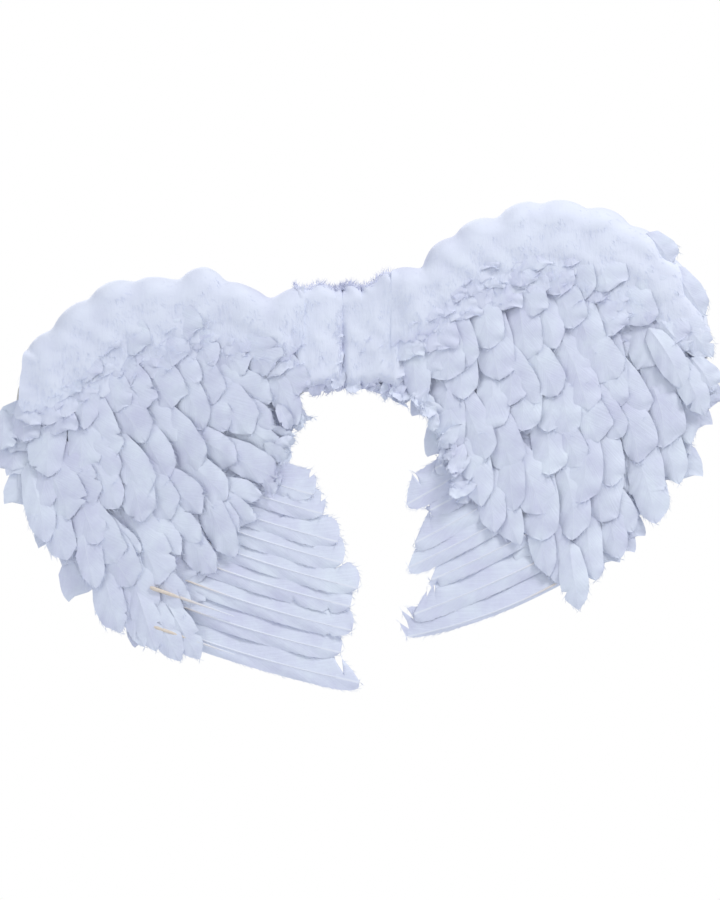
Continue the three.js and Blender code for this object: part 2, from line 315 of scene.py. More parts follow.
def down_material(name, colour):
    material, shader = new_material(
        name, 0.85, Sheen_Weight=0.5, Sheen_Roughness=0.6, Specular_IOR_Level=0.15)
    # The darker lavender end shows random tone and, on the cushions, painted shade in hollows, crease and
    # rim; the lighter end shows painted light on the proud parts.
    share = weighed(material, (feather_tone(material), 0.75), (noise(material, 45.0, 4.0), 0.4))
    paint(material, shader, share, tint(colour, (0.76, 0.74, 0.86)), shade(colour, 1.06))
    spot = node(material, "ShaderNodeSeparateXYZ")
    link(material, node(material, "ShaderNodeTexCoord").outputs["Object"], spot.inputs[0])
    place = scaled_place(material, *zip(spot.outputs, (300.0, 120.0, 70.0)))
    fibres = noise(material, 1.0, 5.0, 0.65, vector=place)
    relief = weighed(material, (fibres, 1.0), (noise(material, 420.0, 3.0), 0.3))
    bump(material, shader, relief, 0.4, 0.0010)
    return material


def quill_material(name, quill, shaft):
    """A bare quill is amber at its root and pales to the shaft's white."""
    material, shader = new_material(name, 0.34, Specular_IOR_Level=0.5, Coat_Weight=0.2)
    _, along = barb_map(material)
    streaks = noise(material, 300.0, 3.0)
    amber = blend_colours(material, streaks, shade(quill, 0.85), shade(quill, 1.12))
    paint(material, shader, ranged(material, along, 0.020, 0.075), amber, shaft)
    bump(material, shader, streaks, 0.3, 0.0002)
    return material


def felt_material(name, colour):
    material, shader = new_material(
        name, 0.95, Sheen_Weight=0.35, Sheen_Roughness=0.6, Specular_IOR_Level=0.1)
    fibres = noise(material, 900.0, 6.0, 0.7)
    share = weighed(material, (fibres, 0.6), (noise(material, 38.0, 3.0), 0.4))
    paint(material, shader, share, shade(colour, 0.80), shade(colour, 1.10))
    bump(material, shader, fibres, 0.7, 0.0007)
    return material


def elastic_material(name, colour):
    """Ribs run along the band; rows of weft cross them."""
    rib_pitch, weft_pitch = 0.0011, 0.0009
    material, shader = new_material(
        name, 0.7, Sheen_Weight=0.2, Sheen_Roughness=0.4, Specular_IOR_Level=0.25)
    across, along = barb_map(material)
    ribs = maths(material, "SINE", maths(material, "MULTIPLY", across, 2 * math.pi / rib_pitch))
    weft = maths(material, "SINE", maths(material, "MULTIPLY", along, 2 * math.pi / weft_pitch))
    weave = weighed(material, (ribs, 0.6), (weft, 0.4))
    share = maths(material, "MULTIPLY_ADD", weave, 0.4)
    share.node.inputs[2].default_value = 0.55
    paint(material, shader, share, shade(colour, 0.78), shade(colour, 1.06))
    bump(material, shader, weave, 0.8, 0.0003)
    return material


def card_material(name, colour):
    material, shader = new_material(name, 0.85, Specular_IOR_Level=0.2)
    pulp = noise(material, 220.0, 5.0, 0.6)
    paint(material, shader, pulp, shade(colour, 0.86), shade(colour, 1.08))
    bump(material, shader, pulp, 0.35, 0.0004)
    return material


def wire_material(name):
    material, shader = new_material(name, 0.35, Metallic=0.9)
    drawn = noise(material, 350.0, 3.0)
    paint(material, shader, drawn, (0.42, 0.43, 0.45), (0.66, 0.67, 0.69))
    bump(material, shader, drawn, 0.2, 0.0002)
    return material


# ---------- outlines taken from the frame ----------
def joint_place(body):
    """Where the joint that carries a body stands."""
    joints = frame["record"]["behaviour"]["joints"]
    return next(joint["pos_m"] for joint in joints if joint["child"] == body)


def signed_area(loop):
    """Area inside a closed outline; negative where it runs clockwise."""
    after = np.roll(loop, -1, axis=0)
    return np.sum(loop[:, 0] * after[:, 1] - loop[:, 1] * after[:, 0]) / 2


def unit(vectors):
    """Directions of one length, a row each."""
    return vectors / (np.linalg.norm(vectors, axis=1, keepdims=True) + 1e-12)


def raised(places, y):
    """Places in X and Z, or a single one, set at a height Y."""
    x, z = places[..., 0], places[..., 1]
    return np.stack([x, np.broadcast_to(y, x.shape), z], axis=-1)


def outline_of(name):
    """A flat plate's outline in X and Z, in order, from the edges of its feathered face."""
    mesh = frame["nodes"][name].data
    places = np.array([v.co[:] for v in mesh.vertices])
    _, first = np.unique(np.round(places, 6), axis=0, return_inverse=True)
    first = first.reshape(-1)
    facing, follows = [], {}
    for face in mesh.polygons:
        if face.normal.y < -0.9:
            facing.append([int(first[v]) for v in face.vertices])
    directed = {(a, b) for face in facing for a, b in zip(face, face[1:] + face[:1])}
    for a, b in directed:
        if (b, a) not in directed:
            follows[a] = b
    where = {int(first[v]): places[v] for v in range(len(places))}
    start = min(follows)
    order, at = [start], follows[start]
    while at != start and len(order) <= len(follows):
        order.append(at)
        at = follows[at]
    loop = np.array([[where[i][0], where[i][2]] for i in order])
    return loop if signed_area(loop) > 0 else loop[::-1]


def resample(loop, pitch):
    """Points spaced evenly round a closed outline, with the outward normal at each."""
    closed = np.vstack([loop, loop[:1]])
    steps = np.linalg.norm(np.diff(closed, axis=0), axis=1)
    along = np.concatenate([[0], np.cumsum(steps)])
    count = max(8, int(round(along[-1] / pitch)))
    at = (np.arange(count) + 0.5) / count * along[-1]
    points = np.stack([np.interp(at, along, closed[:, axis]) for axis in (0, 1)], axis=1)
    wide = unit(np.roll(points, -2, axis=0) - np.roll(points, 2, axis=0))
    return points, np.stack([wide[:, 1], -wide[:, 0]], axis=1)


def inside(loop, points):
    """Which points lie inside a closed outline."""
    points = np.atleast_2d(points)
    result = np.zeros(len(points), bool)
    for (x0, z0), (x1, z1) in zip(loop, np.roll(loop, -1, axis=0)):
        crosses = (z0 > points[:, 1]) != (z1 > points[:, 1])
        with np.errstate(divide="ignore", invalid="ignore"):
            limit = (x1 - x0) * (points[:, 1] - z0) / (z1 - z0) + x0
        result ^= crosses & (points[:, 0] < limit)
    return result


def distance_to(loop, points):
    """Least distance from each point to an outline, given as dense points."""
    return np.linalg.norm(points[:, None, :] - loop[None, :, :], axis=2).min(axis=1)


def turned(way, angle):
    """A direction in X and Z turned by an angle."""
    cos, sin = math.cos(angle), math.sin(angle)
    return np.array([way[0] * cos - way[1] * sin, way[0] * sin + way[1] * cos])


def spun(ways, angles):
    """Directions in X and Z, each turned by its own angle."""
    cos, sin = np.cos(angles), np.sin(angles)
    return np.stack([ways[:, 0] * cos - ways[:, 1] * sin, ways[:, 0] * sin + ways[:, 1] * cos], axis=1)


def lean_at(side, point):
    """Direction in X and Z in which a covert at this place lies."""
    places = np.array([(x, z) for x, z, _ in LEAN[side]])
    angles = np.radians([angle for _, _, angle in LEAN[side]])
    weight = 1 / (np.sum((places - point) ** 2, axis=1) + 0.012 ** 2) ** 1.6
    across = np.sum(weight * np.sin(angles)) / weight.sum()
    down = np.sum(weight * np.cos(angles)) / weight.sum()
    length = math.hypot(across, down)
    return np.array([across / length, -down / length])


# ---------- feather geometry ----------
class Pile:
    """Gathers many feathers into one mesh."""

    def __init__(self):
        self.points, self.faces, self.barb, self.atlas = [], [], [], []
        self.tone, self.material = [], []
        self.count = 0

    def add(self, points, faces, barb, cell, tone, material=0, back_faces=0):
        """faces is an array of quads or triangles; the last back_faces of them show the underside."""
        faces = np.asarray(faces)
        sides = faces.shape[1]
        barb = np.asarray(barb, float)
        low, high = barb.min(axis=0), barb.max(axis=0)
        place = (barb - low) / np.maximum(high - low, 1e-9)
        under = np.zeros(len(faces), bool)
        if back_faces:
            under[-back_faces:] = True
        spot = place[faces]
        spot[..., 0] = 0.03 + 0.44 * spot[..., 0] + np.where(under, 0.5, 0.0)[:, None]
        spot[..., 1] = 0.03 + 0.94 * spot[..., 1]
        self.points.append(points)
        self.faces.append((faces + self.count, sides, material))
        self.barb.append(barb[faces].reshape(-1, 2))
        self.atlas.append((spot.reshape(-1, 2), cell))
        self.tone.append(np.full(len(points), tone) if np.isscalar(tone) else tone)
        self.count += len(points)

    def build(self, name, materials):
        mesh = bpy.data.meshes.new(name)
        points = np.concatenate(self.points).astype(np.float32)
        sides = np.concatenate([np.full(len(f), s) for f, s, _ in self.faces])
        loops = np.concatenate([f.reshape(-1) for f, _, _ in self.faces])
        mesh.vertices.add(len(points))
        mesh.vertices.foreach_set("co", points.reshape(-1))
        mesh.loops.add(len(loops))
        mesh.loops.foreach_set("vertex_index", loops.astype(np.int32))
        mesh.polygons.add(len(sides))
        starts = np.concatenate([[0], np.cumsum(sides)[:-1]])
        mesh.polygons.foreach_set("loop_start", starts.astype(np.int32))
        slots = np.concatenate([np.full(len(f), m) for f, _, m in self.faces])
        mesh.polygons.foreach_set("material_index", slots.astype(np.int32))
        barb = mesh.uv_layers.new(name="Barb")
        barb.data.foreach_set("uv", np.concatenate(self.barb).astype(np.float32).reshape(-1))
        cells = 1 + max(cell for _, cell in self.atlas)
        grid = math.ceil(math.sqrt(cells))
        spots = [(spot + np.array([cell % grid, cell // grid])) / grid for spot, cell in self.atlas]
        atlas = mesh.uv_layers.new(name="OFBake")
        atlas.data.foreach_set("uv", np.concatenate(spots).astype(np.float32).reshape(-1))
        tone = mesh.attributes.new("tone", "FLOAT", "POINT")
        tone.data.foreach_set("value", np.concatenate(self.tone).astype(np.float32))
        mesh.validate()
        mesh.update()
        mesh.shade_smooth()
        mesh.set_sharp_from_angle(angle=math.radians(62))
        for material in materials:
            mesh.materials.append(material)
        piece = bpy.data.objects.new(name, mesh)
        bpy.context.scene.collection.objects.link(piece)
        return piece


def lens_faces(rows, columns):
    """Quads of an upper and a lower grid that share their rim."""
    upper = np.arange(rows * columns).reshape(rows, columns)
    lower = upper.copy()
    within = np.arange((rows - 2) * (columns - 2)).reshape(rows - 2, columns - 2)
    lower[1:-1, 1:-1] = rows * columns + within

    def quads(grid, flip):
        a, b, c, d = grid[:-1, :-1], grid[:-1, 1:], grid[1:, 1:], grid[1:, :-1]
        order = (a, d, c, b) if flip else (a, b, c, d)
        return np.stack([q.reshape(-1) for q in order], axis=1)

    return quads(upper, False), quads(lower, True)


def smoothstep(low, high, value):
    share = np.clip((value - low) / (high - low), 0, 1)
    return share * share * (3 - 2 * share)


def covert_shape(fullness):
    """Half width of a body feather along its length; a fuller feather has a rounder tip."""
    def half_width(share):
        rise = (0.62 + 0.38 * smoothstep(0.0, 0.38, share)) * np.clip(share / 0.10 + 0.02, 0, 1) ** 0.5
        tip = np.clip((share - 0.46) / 0.54, 0, 1)
        return rise * np.clip(1 - tip ** (1.7 + fullness), 0.0, 1) ** (0.78 - 0.16 * fullness) + 0.008
    return half_width


def flight_shape(share):
    """Half width of a flight feather: bare quill, an even vane, rounded tip."""
    rise = smoothstep(0.01, 0.14, share)
    tip = np.clip((share - 0.84) / 0.16, 0, 1)
    return (0.06 + 0.94 * rise) * np.clip(1 - tip ** 2.4, 0.0, 1) ** 0.55 + 0.01


def feather_frame(root, tip, roll):
    """Axes of a feather: along its shaft, across its vane and out of its face."""
    along = tip - root
    length = np.linalg.norm(along)
    along = along / length
    outward = SHOW_SIDE - along * np.dot(SHOW_SIDE, along)
    outward /= np.linalg.norm(outward)
    across = np.cross(outward, along)
    cos, sin = math.cos(roll), math.sin(roll)
    return length, along, across * cos + outward * sin, outward * cos - across * sin


def lay_feather(pile, cell, root, tip, width, shape, rng, rows=24, half_columns=5, sweep=0.55,
                shaft_share=0.5, cup=0.10, arch=0.03, curl=0.0, bow=0.0, roll=0.0, ragged=0.03,
                splits=0, split_depth=0.4, thickness=0.0004, shaft_width=0.0011, shaft_rise=0.0005,
                tone=0.5, loose=0, loose_length=0.006, oblique=0.0, split_from=0.35):
    """Adds one vane. Shares run along the shaft; sides run from -1 to 1 across it."""
    length, along, across, outward = feather_frame(root, tip, roll)
    share = np.linspace(0, 1, rows) ** 0.75
    even = np.linspace(0, 1, half_columns + 1)[1:] ** 0.85
    near = min(0.9, shaft_width / width)
    side = np.concatenate([-even[::-1], [-near * 0.6, 0.0, near * 0.6], even])
    side = np.sort(side)
    half = shape(share) * width
    left = half * 2 * shaft_share
    right = half * 2 * (1 - shaft_share)
    roughness = np.clip(share * 1.6 - 0.4, 0.25, 1) * ragged
    left = left * (1 - roughness * rng.random(rows) * 2)
    right = right * (1 - roughness * rng.random(rows) * 2)
    shift = np.zeros((rows, len(side)))
    for _ in range(splits):
        at = int(rng.integers(int(rows * split_from), rows - 2))
        on_left = rng.random() < shaft_share
        depth = split_depth * (0.6 + 0.6 * rng.random())
        barbs = left if on_left else right
        barbs[at] *= 1 - min(0.85, depth)
        if rows > 30:
            barbs[at - 1] *= 1 - 0.45 * depth
        reach = np.arange(rows) - at
        pull = np.sign(reach) * np.exp(-np.abs(reach) / (rows * 0.10)) * 0.016 * depth
        outer = (side < 0) if on_left else (side > 0)
        shift += pull[:, None] * (np.abs(side) ** 2 * outer)[None, :]
    spread = np.where(side[None, :] < 0, left[:, None], right[:, None]) * side[None, :] * 0.5
    forward = smoothstep(0.0, 0.3, share) * (1 - smoothstep(0.72, 1.0, share))
    swept = share[:, None] * length + sweep * np.abs(spread) * forward[:, None] + shift * length
    swept += oblique * spread * smoothstep(0.70, 1.0, share)[:, None]
    waves = 0.0006 * np.sin(share[:, None] * 19 + side[None, :] * 3 + rng.random() * 6.28)
    arc = share * (1 - share) * 4
    height = (arch * length * arc)[:, None] - cup * width * (side[None, :] ** 2) * (half / width)[:, None]
    height += (curl * length * np.clip((share - 0.55) / 0.45, 0, 1) ** 2)[:, None]
    height += waves * np.abs(side)[None, :] * 1.5
    ridge = shaft_rise * np.exp(-(spread / (0.5 * shaft_width)) ** 2) * (1 - 0.7 * share)[:, None]
    thin = thickness * (1 - side[None, :] ** 2)
    sideways = spread + (bow * length * arc)[:, None]
    upper = np.stack([swept, sideways, height + ridge + thin * 0.5], axis=-1).reshape(-1, 3)
    lower_grid = np.stack([swept, sideways, height - ridge * 0.6 - thin * 0.5], axis=-1)
    upper_faces, lower_faces = lens_faces(rows, len(side))
    local = np.concatenate([upper, lower_grid[1:-1, 1:-1].reshape(-1, 3)])
    world = root + local[:, :1] * along + local[:, 1:2] * across + local[:, 2:3] * outward
    barb_upper = np.stack([spread, swept], axis=-1)
    barb = np.concatenate([barb_upper.reshape(-1, 2), barb_upper[1:-1, 1:-1].reshape(-1, 2)])
    pile.add(world, np.concatenate([upper_faces, lower_faces]), barb, cell, tone,
             back_faces=len(lower_faces))
    if loose:
        grid = world[: rows * len(side)].reshape(rows, len(side), 3)
        loosen(pile, cell, grid, outward, loose, loose_length, tone, rng)


def loosen(pile, cell, grid, outward, count, length, tone, rng):
    """Barbs that have come loose along a feather's edges and at its tip."""
    rows, columns = grid.shape[:2]
    i = rows - 1 - np.minimum((rng.random(count) ** 1.6 * rows * 0.7).astype(int), rows - 3)
    on_left = rng.random(count) < 0.5
    j = np.where(on_left, 0, columns - 1)
    inner = np.where(on_left, 1, columns - 2)
    forward, sideways = unit(grid[i, j] - grid[i - 1, j]), unit(grid[i, j] - grid[i, inner])
    directions = forward + sideways * rng.uniform(0.1, 0.8, (count, 1))
    directions += outward * rng.uniform(-0.12, 0.12, (count, 1))
    lay_barbs(pile, cell, grid[i, j], unit(directions), length * rng.uniform(0.4, 1.2, count), 0.00022,
              rng, np.full(count, tone), outward=outward)


def lay_shaft(pile, cell, root, tip, radius, bow=0.0, arch=0.0, roll=0.0, lift=0.0, reach=0.97):
    """A tapered round quill and shaft along a feather."""
    length, along, across, outward = feather_frame(root, tip, roll)
    rings, sides = 26, 8
    share = np.linspace(0, reach, rings)
    arc = share * (1 - share) * 4
    centre = (root + share[:, None] * length * along + (bow * length * arc)[:, None] * across
              + (arch * length * arc + lift)[:, None] * outward)
    thick = radius * (1 - 0.82 * share) * np.where(np.arange(rings) == 0, 0.55, 1)
    angle = np.linspace(0, 2 * math.pi, sides, endpoint=False)
    ring = np.cos(angle)[None, :, None] * across + np.sin(angle)[None, :, None] * outward
    points = (centre[:, None, :] + thick[:, None, None] * ring).reshape(-1, 3)
    index = np.arange(rings * sides).reshape(rings, sides)
    beside = np.roll(index, -1, axis=1)
    faces = np.stack([beside[:-1], beside[1:], index[1:], index[:-1]], axis=-1).reshape(-1, 4)
    caps = np.array([[index[0, 0], index[0, 1], index[0, 2], index[0, 3]],
                     [index[0, 0], index[0, 3], index[0, 4], index[0, 7]],
                     [index[0, 4], index[0, 5], index[0, 6], index[0, 7]],
                     [index[-1, 3], index[-1, 2], index[-1, 1], index[-1, 0]],
                     [index[-1, 7], index[-1, 4], index[-1, 3], index[-1, 0]],
                     [index[-1, 7], index[-1, 6], index[-1, 5], index[-1, 4]]])[:, ::-1]
    barb = np.stack([np.tile(np.cos(angle) * radius, rings), np.repeat(share * length, sides)], axis=1)
    pile.add(points, np.concatenate([faces, caps]), barb, cell, 0.5, QUILL_SLOT)


def lay_barbs(pile, cell, roots, directions, lengths, radius, rng, tone, outward=SHOW_SIDE, curl=0.6):
    """Loose barbs: thin three-sided spikes that curl off the plume."""
    count = len(roots)
    outwards = np.tile(outward, (count, 1))
    across = unit(np.cross(directions, outwards))
    bend = (outwards * rng.normal(0.15, 0.35, (count, 1)) + across * rng.normal(0, 0.5, (count, 1))) * curl
    mids = roots + directions * lengths[:, None] * 0.5 + bend * lengths[:, None] * 0.12
    ends = roots + directions * lengths[:, None] + bend * lengths[:, None] * 0.5
    angle = np.array([0, 2 * math.pi / 3, 4 * math.pi / 3])
    cos, sin = np.cos(angle)[None, :, None], np.sin(angle)[None, :, None]
    ring = cos * across[:, None, :] + sin * outwards[:, None, :]
    base = roots[:, None, :] + ring * radius
    middle = mids[:, None, :] + ring * radius * 0.75
    points = np.concatenate([base, middle, ends[:, None, :]], axis=1).reshape(-1, 3)
    quads = np.array([[0, 1, 4, 3], [1, 2, 5, 4], [2, 0, 3, 5]])
    spikes = np.array([[3, 4, 6], [4, 5, 6], [5, 3, 6], [2, 1, 0]])
    offsets = (np.arange(count) * 7)[:, None, None]
    along = np.stack([np.zeros(7), np.array([0, 0, 0, 0.5, 0.5, 0.5, 1.0])], axis=1)
    barb = np.tile(along, (count, 1)) * 0.01
    tones = np.repeat(tone, 7)
    pile.add(points, (quads[None] + offsets).reshape(-1, 4), barb, cell, tones)
    pile.faces.append(((spikes[None] + offsets).reshape(-1, 3) + pile.count - len(points), 3, 0))
    flat = (spikes[None] + offsets).reshape(-1)
    pile.barb.append(barb[flat])
    pile.atlas.append((np.clip(barb[flat] * 90, 0.03, 0.97), cell))


# ---------- laying the coverts ----------
def outward_height(side, share):
    """Y of the feathered surface, from the lowest row's face (share 1) up to the top row's (share 0)."""
    faces = [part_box(f"{side}_covert_row_{row}")[0][1] for row in ROWS]
    return float(np.interp(share, np.linspace(0.12, 0.95, len(faces)), faces[::-1]))


class WingField:
    """Where the feathers of one wing lie: the covert outline, its crest and its free edge."""

    def __init__(self, side):
        self.side = side
        self.outline = outline_of(f"{side}_covert_row_1")
        self.down = outline_of(f"{side}_down_band")
        points, normals = resample(self.outline, 0.004)
        near_down = distance_to(resample(self.down, 0.003)[0], points) < 0.004
        inner_edge = np.abs(points[:, 0]) < np.abs(self.outline[:, 0]).min() + 0.002
        self.edge = points[~near_down & ~inner_edge]
        down_points = resample(self.down, 0.004)[0]
        down_rim = down_points[~inside(self.outline, down_points)]
        self.rim = np.vstack([self.edge, down_rim])
        self.edge_normals = normals[~near_down & ~inner_edge]
        self.crest = points[near_down]

    def covers(self, point):
        """True where the feather root at this place is hidden: in the wing, away from its rim."""
        if not (inside(self.outline, point)[0] or inside(self.down, point)[0]):
            return False
        return distance_to(self.rim, np.atleast_2d(point))[0] > 0.009

    def buries(self, point):
        """True where a broad root is hidden too: under the down it keeps clear of the rounded rim."""
        deep = not inside(self.down, point)[0] or distance_to(self.rim, np.atleast_2d(point))[0] > 0.021
        return self.covers(point) and deep

    def share(self, point):
        """0 at the down band, 1 at the free edge."""
        point = np.atleast_2d(point)
        up = distance_to(self.crest, point)[0]
        out = distance_to(self.edge, point)[0]
        return up / (up + out + 1e-9)


def covert_tips(field, sizes, rng):
    """Tips along the free edge first, then as many inside as fit without crowding."""
    side = field.side
    tips, leans = [], []

    def crowded(point, lean, ease=1.0):
        if not tips:
            return False
        gap = np.array(tips) - point
        other = np.array([-lean[1], lean[0]])
        along = gap @ lean / (sizes.covert_step * ease)
        across = gap @ other / (sizes.covert_spacing * ease)
        return bool(np.any(along ** 2 + across ** 2 < 1))

    for index in rng.permutation(len(field.edge)):
        point, normal = field.edge[index], field.edge_normals[index]
        lean = lean_at(side, point)
        facing = float(lean @ normal)
        if facing < -0.05:
            continue
        tuck = sizes.covert_width * 0.5 * (1 - max(facing, 0.0)) ** 1.5
        place = point - normal * tuck + lean * rng.uniform(-0.002, 0.004)
        if not crowded(place, lean, 0.74):
            tips.append(place)
            leans.append(lean)
    edge_count = len(tips)
    low, high = field.outline.min(axis=0), field.outline.max(axis=0)
    for ease, tries in ((1.0, 3000), (0.84, 3000), (0.70, 3000)):
        places = rng.uniform(low, high, (tries, 2))
        for place in places[inside(field.outline, places)]:
            lean = lean_at(side, place)
            if crowded(place, lean, ease) or distance_to(field.edge, place[None])[0] < 0.010:
                continue
            tips.append(place)
            leans.append(lean)
    return tips, leans, edge_count


def tier(share):
    """The covert row that holds a feather: the first at the free edge, the last at the down."""
    return int(np.clip(math.ceil((1 - share) * len(ROWS)), 1, len(ROWS)))


def drawer(sizes, step, side="left"):
    """Random draws for one kind of feather; the right wing has its own."""
    return np.random.default_rng(sizes.seed + step + (0 if side == "left" else 50))


def shorten(length, least, hidden, tip, way):
    """A feather's length, cut in small steps until its root is hidden or it is at its least."""
    while length > least and not hidden(tip - way * length):
        length -= 0.003
    return length


# Least distance from the middle to a feather's ends, in covert widths: a folded wing has to pass
# the spine, and what stands furthest forward swings furthest in.
FOLD_CLEAR = {"lower rows": 1.1, "top rows": 1.6, "lining": 1.35}
LEAST_COVERT, LEAST_LINING, LEAST_POINTED, LEAST_PLUME = 0.022, 0.020, 0.040, 0.020


def build_coverts(side, sizes, materials):
    rng = drawer(sizes, 0, side)
    field = WingField(side)
    tips, leans, edge_count = covert_tips(field, sizes, rng)
    piles = {row: Pile() for row in ROWS}
    cells = dict.fromkeys(ROWS, 0)
    for index, (tip, lean) in enumerate(zip(tips, leans)):
        share = field.share(tip)
        row = tier(share)
        way = turned(lean, rng.normal(0, math.radians(9)))
        length = shorten(sizes.covert_length * rng.uniform(0.9, 1.1), LEAST_COVERT, field.buries, tip, way)
        if length <= LEAST_COVERT:
            continue
        root = tip - way * length
        clear = FOLD_CLEAR["lower rows" if row < 4 else "top rows"]
        if min(abs(tip[0]), abs(root[0])) < sizes.covert_width * clear:
            continue
        deep = outward_height(side, max(field.share(root), 0.0)) + 0.0035
        proud = outward_height(side, share) - 0.0028 + rng.uniform(-0.001, 0.001)
        outer = index < edge_count
        wispy = side == "left"
        full = (0.2, 0.9) if outer else ((0.4, 1.3) if wispy else (0.8, 1.7))
        lay_feather(
            piles[row], cells[row], raised(root, deep), raised(tip, proud),
            sizes.covert_width * (rng.uniform(0.70, 0.95) if outer else rng.uniform(0.90, 1.18)),
            covert_shape(rng.uniform(*full)), rng,
            loose=64 if wispy else 44, rows=26, cup=rng.uniform(0.03, 0.08), arch=rng.uniform(0.012, 0.035),
            curl=rng.uniform(-0.015, 0.02), bow=rng.normal(0, 0.04), shaft_rise=0.0002,
            roll=math.radians(rng.normal(9, 3)), ragged=0.03 if wispy else 0.016,
            splits=int(rng.integers(0, 2)) if wispy else 0, split_depth=0.25,
            tone=float(rng.random()), shaft_share=rng.uniform(0.40, 0.60))
        cells[row] += 1
    laid = sum(cells.values())
    for place in scattered(field.outline, 0.016, rng):
        way = turned(lean_at(side, place), rng.normal(0, math.radians(6)))
        length = shorten(0.045, LEAST_LINING, field.buries, place, way)
        root = place - way * length
        if distance_to(field.edge, place[None])[0] < 0.005 or length <= LEAST_LINING:
            continue
        if min(abs(place[0]), abs(root[0])) < sizes.covert_width * FOLD_CLEAR["lining"]:
            continue
        share = field.share(place)
        row = tier(share)
        level = outward_height(side, share) + 0.0042
        lay_feather(
            piles[row], cells[row], raised(root, level + 0.0015), raised(place, level - 0.0012),
            sizes.covert_width * 1.3, covert_shape(1.4), rng,
            rows=10, half_columns=3, cup=0.03, arch=0.01, roll=math.radians(rng.normal(3, 2)), tone=0.6)
        cells[row] += 1
    for x, z, angle in POINTED[side]:
        way = turned(STRAIGHT_DOWN, math.radians(angle))
        tip = np.array([x, z])
        root = tip - way * shorten(sizes.covert_length * 0.85, LEAST_POINTED, field.covers, tip, way)
        row = tier(field.share(root))
        surface = outward_height(side, field.share(root))
        lay_feather(
            piles[row], cells[row], raised(root, surface - 0.0002), raised(tip, surface - 0.0012),
            sizes.covert_width * 0.78, covert_shape(0.2), rng,
            loose=30, cup=0.06, arch=0.06, bow=rng.normal(0, 0.03), roll=math.radians(6), ragged=0.04,
            splits=1, tone=0.9)
        cells[row] += 1
    near_fold = np.abs(field.edge[:, 0]) < sizes.covert_width
    ruffled_to = {"left": 0.075, "right": 0.112}[side]
    inner = ~near_fold & (np.abs(field.edge[:, 0]) < ruffled_to)
    places, ways = field.edge[inner][::2], field.edge_normals[inner][::2]

    def outward(place):
        way = ways[np.linalg.norm(places - place, axis=1).argmin()] + np.array([0, -0.4])
        return way / np.linalg.norm(way)

    lay_ruffles(piles[1], cells[1], places, outward, -0.011, -0.021, rng)
    for row, pile in piles.items():
        if not pile.count:
            raise RuntimeError(f"no coverts fell in row {row} of the {side} wing")
        piece = pile.build(f"{side}_coverts_{row}", [materials["covert"]])
        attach(piece, f"{side}_wing")
        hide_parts(f"{side}_covert_row_{row}")
    return laid


# ---------- flight feathers ----------
# How far each flight feather's tip stands past its plate, as a share of its length, lowest first.
STAGGER = {
    "left": (0.020, -0.055, -0.005, -0.040, 0.010, -0.030, 0.005, -0.060, -0.010),
    "right": (-0.005, -0.010, -0.120, 0.000, -0.030, -0.150, 0.010, -0.020),
}

# Bare quills of the left wing that stand out over the coverts: both ends, by flight feather.
BARE_QUILLS = {1: ((-0.192, -0.287), (-0.110, -0.316)), 3: ((-0.196, -0.248), (-0.110, -0.278))}


def flight_line(name):
    """Root and tip of a flight feather from its plate: the ends of its long axis."""
    loop = outline_of(name)
    middle = loop.mean(axis=0)
    _, _, axes = np.linalg.svd(loop - middle)
    reach = (loop - middle) @ axes[0]
    ends = loop[[reach.argmin(), reach.argmax()]]
    inner, outer = sorted(ends, key=lambda end: abs(end[0]))
    return outer, inner


def build_flights(side, sizes, materials):
    rng = drawer(sizes, 100, side)
    names = sorted((n for n in frame["nodes"] if n.startswith(f"{side}_flight_")),
                   key=lambda n: int(n.rsplit("_", 1)[1]))
    faces = [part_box(name) for name in names]
    level = (min(low[1] for low, _ in faces) + max(high[1] for _, high in faces)) / 2
    for number, name in enumerate(names):
        root2, tip2 = flight_line(name)
        pile = Pile()
        tip2 = tip2 + (tip2 - root2) * STAGGER[side][number]
        root, tip = raised(root2, level + 0.0010), raised(tip2, level - 0.0004)
        width = sizes.flight_width * rng.uniform(0.95, 1.08)
        # the roll lifts the lower edge of each vane over the feather below it
        roll = WAY_OUT[side] * math.radians(8)
        bow = WAY_OUT[side] * (0.045 if number == 0 and side == "right" else 0.022)
        lower = 0.10 if number == 0 and side == "right" else 0.30
        torn = dict(splits=int(rng.integers(1, 3)), split_depth=0.40, split_from=0.45, oblique=0.15)
        if side == "left" and number == 0:
            torn = dict(splits=1, split_depth=0.8, split_from=0.86, oblique=-0.9)
        if side == "right":
            torn = dict(splits=int(rng.integers(1, 3)), split_depth=0.55, split_from=0.80,
                        oblique=-0.3 if number == 0 else rng.uniform(0.5, 1.1))
        lay_feather(
            pile, 0, root, tip, width, flight_shape, rng, rows=64, half_columns=8, sweep=0.8,
            shaft_share=lower if side == "left" else 1 - lower, cup=0.06, arch=0.012, bow=bow, roll=roll,
            ragged=0.030, thickness=0.0005, shaft_width=0.0030, shaft_rise=0.0008, tone=float(rng.random()),
            loose=120, loose_length=0.006, **torn)
        if side == "left" and number in BARE_QUILLS:
            proud = outward_height(side, 0.9) - 0.0052
            start, end = np.array(BARE_QUILLS[number])
            lay_shaft(pile, 1, raised(start, proud), raised(end, proud + 0.004), 0.0022)
        lay_shaft(pile, 1, root, tip, 0.0013, bow=bow, arch=0.012, roll=roll, lift=0.0006, reach=0.90)
        piece = pile.build(f"{side}_flight_feather_{number + 1}", [materials["flight"], materials["quill"]])
        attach(piece, f"{side}_wing")
        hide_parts(name)


# ---------- down ----------
# Distance from the middle at which a wing's own cushion of down begins; the gusset covers the rest.
CUSHION_START = 0.043


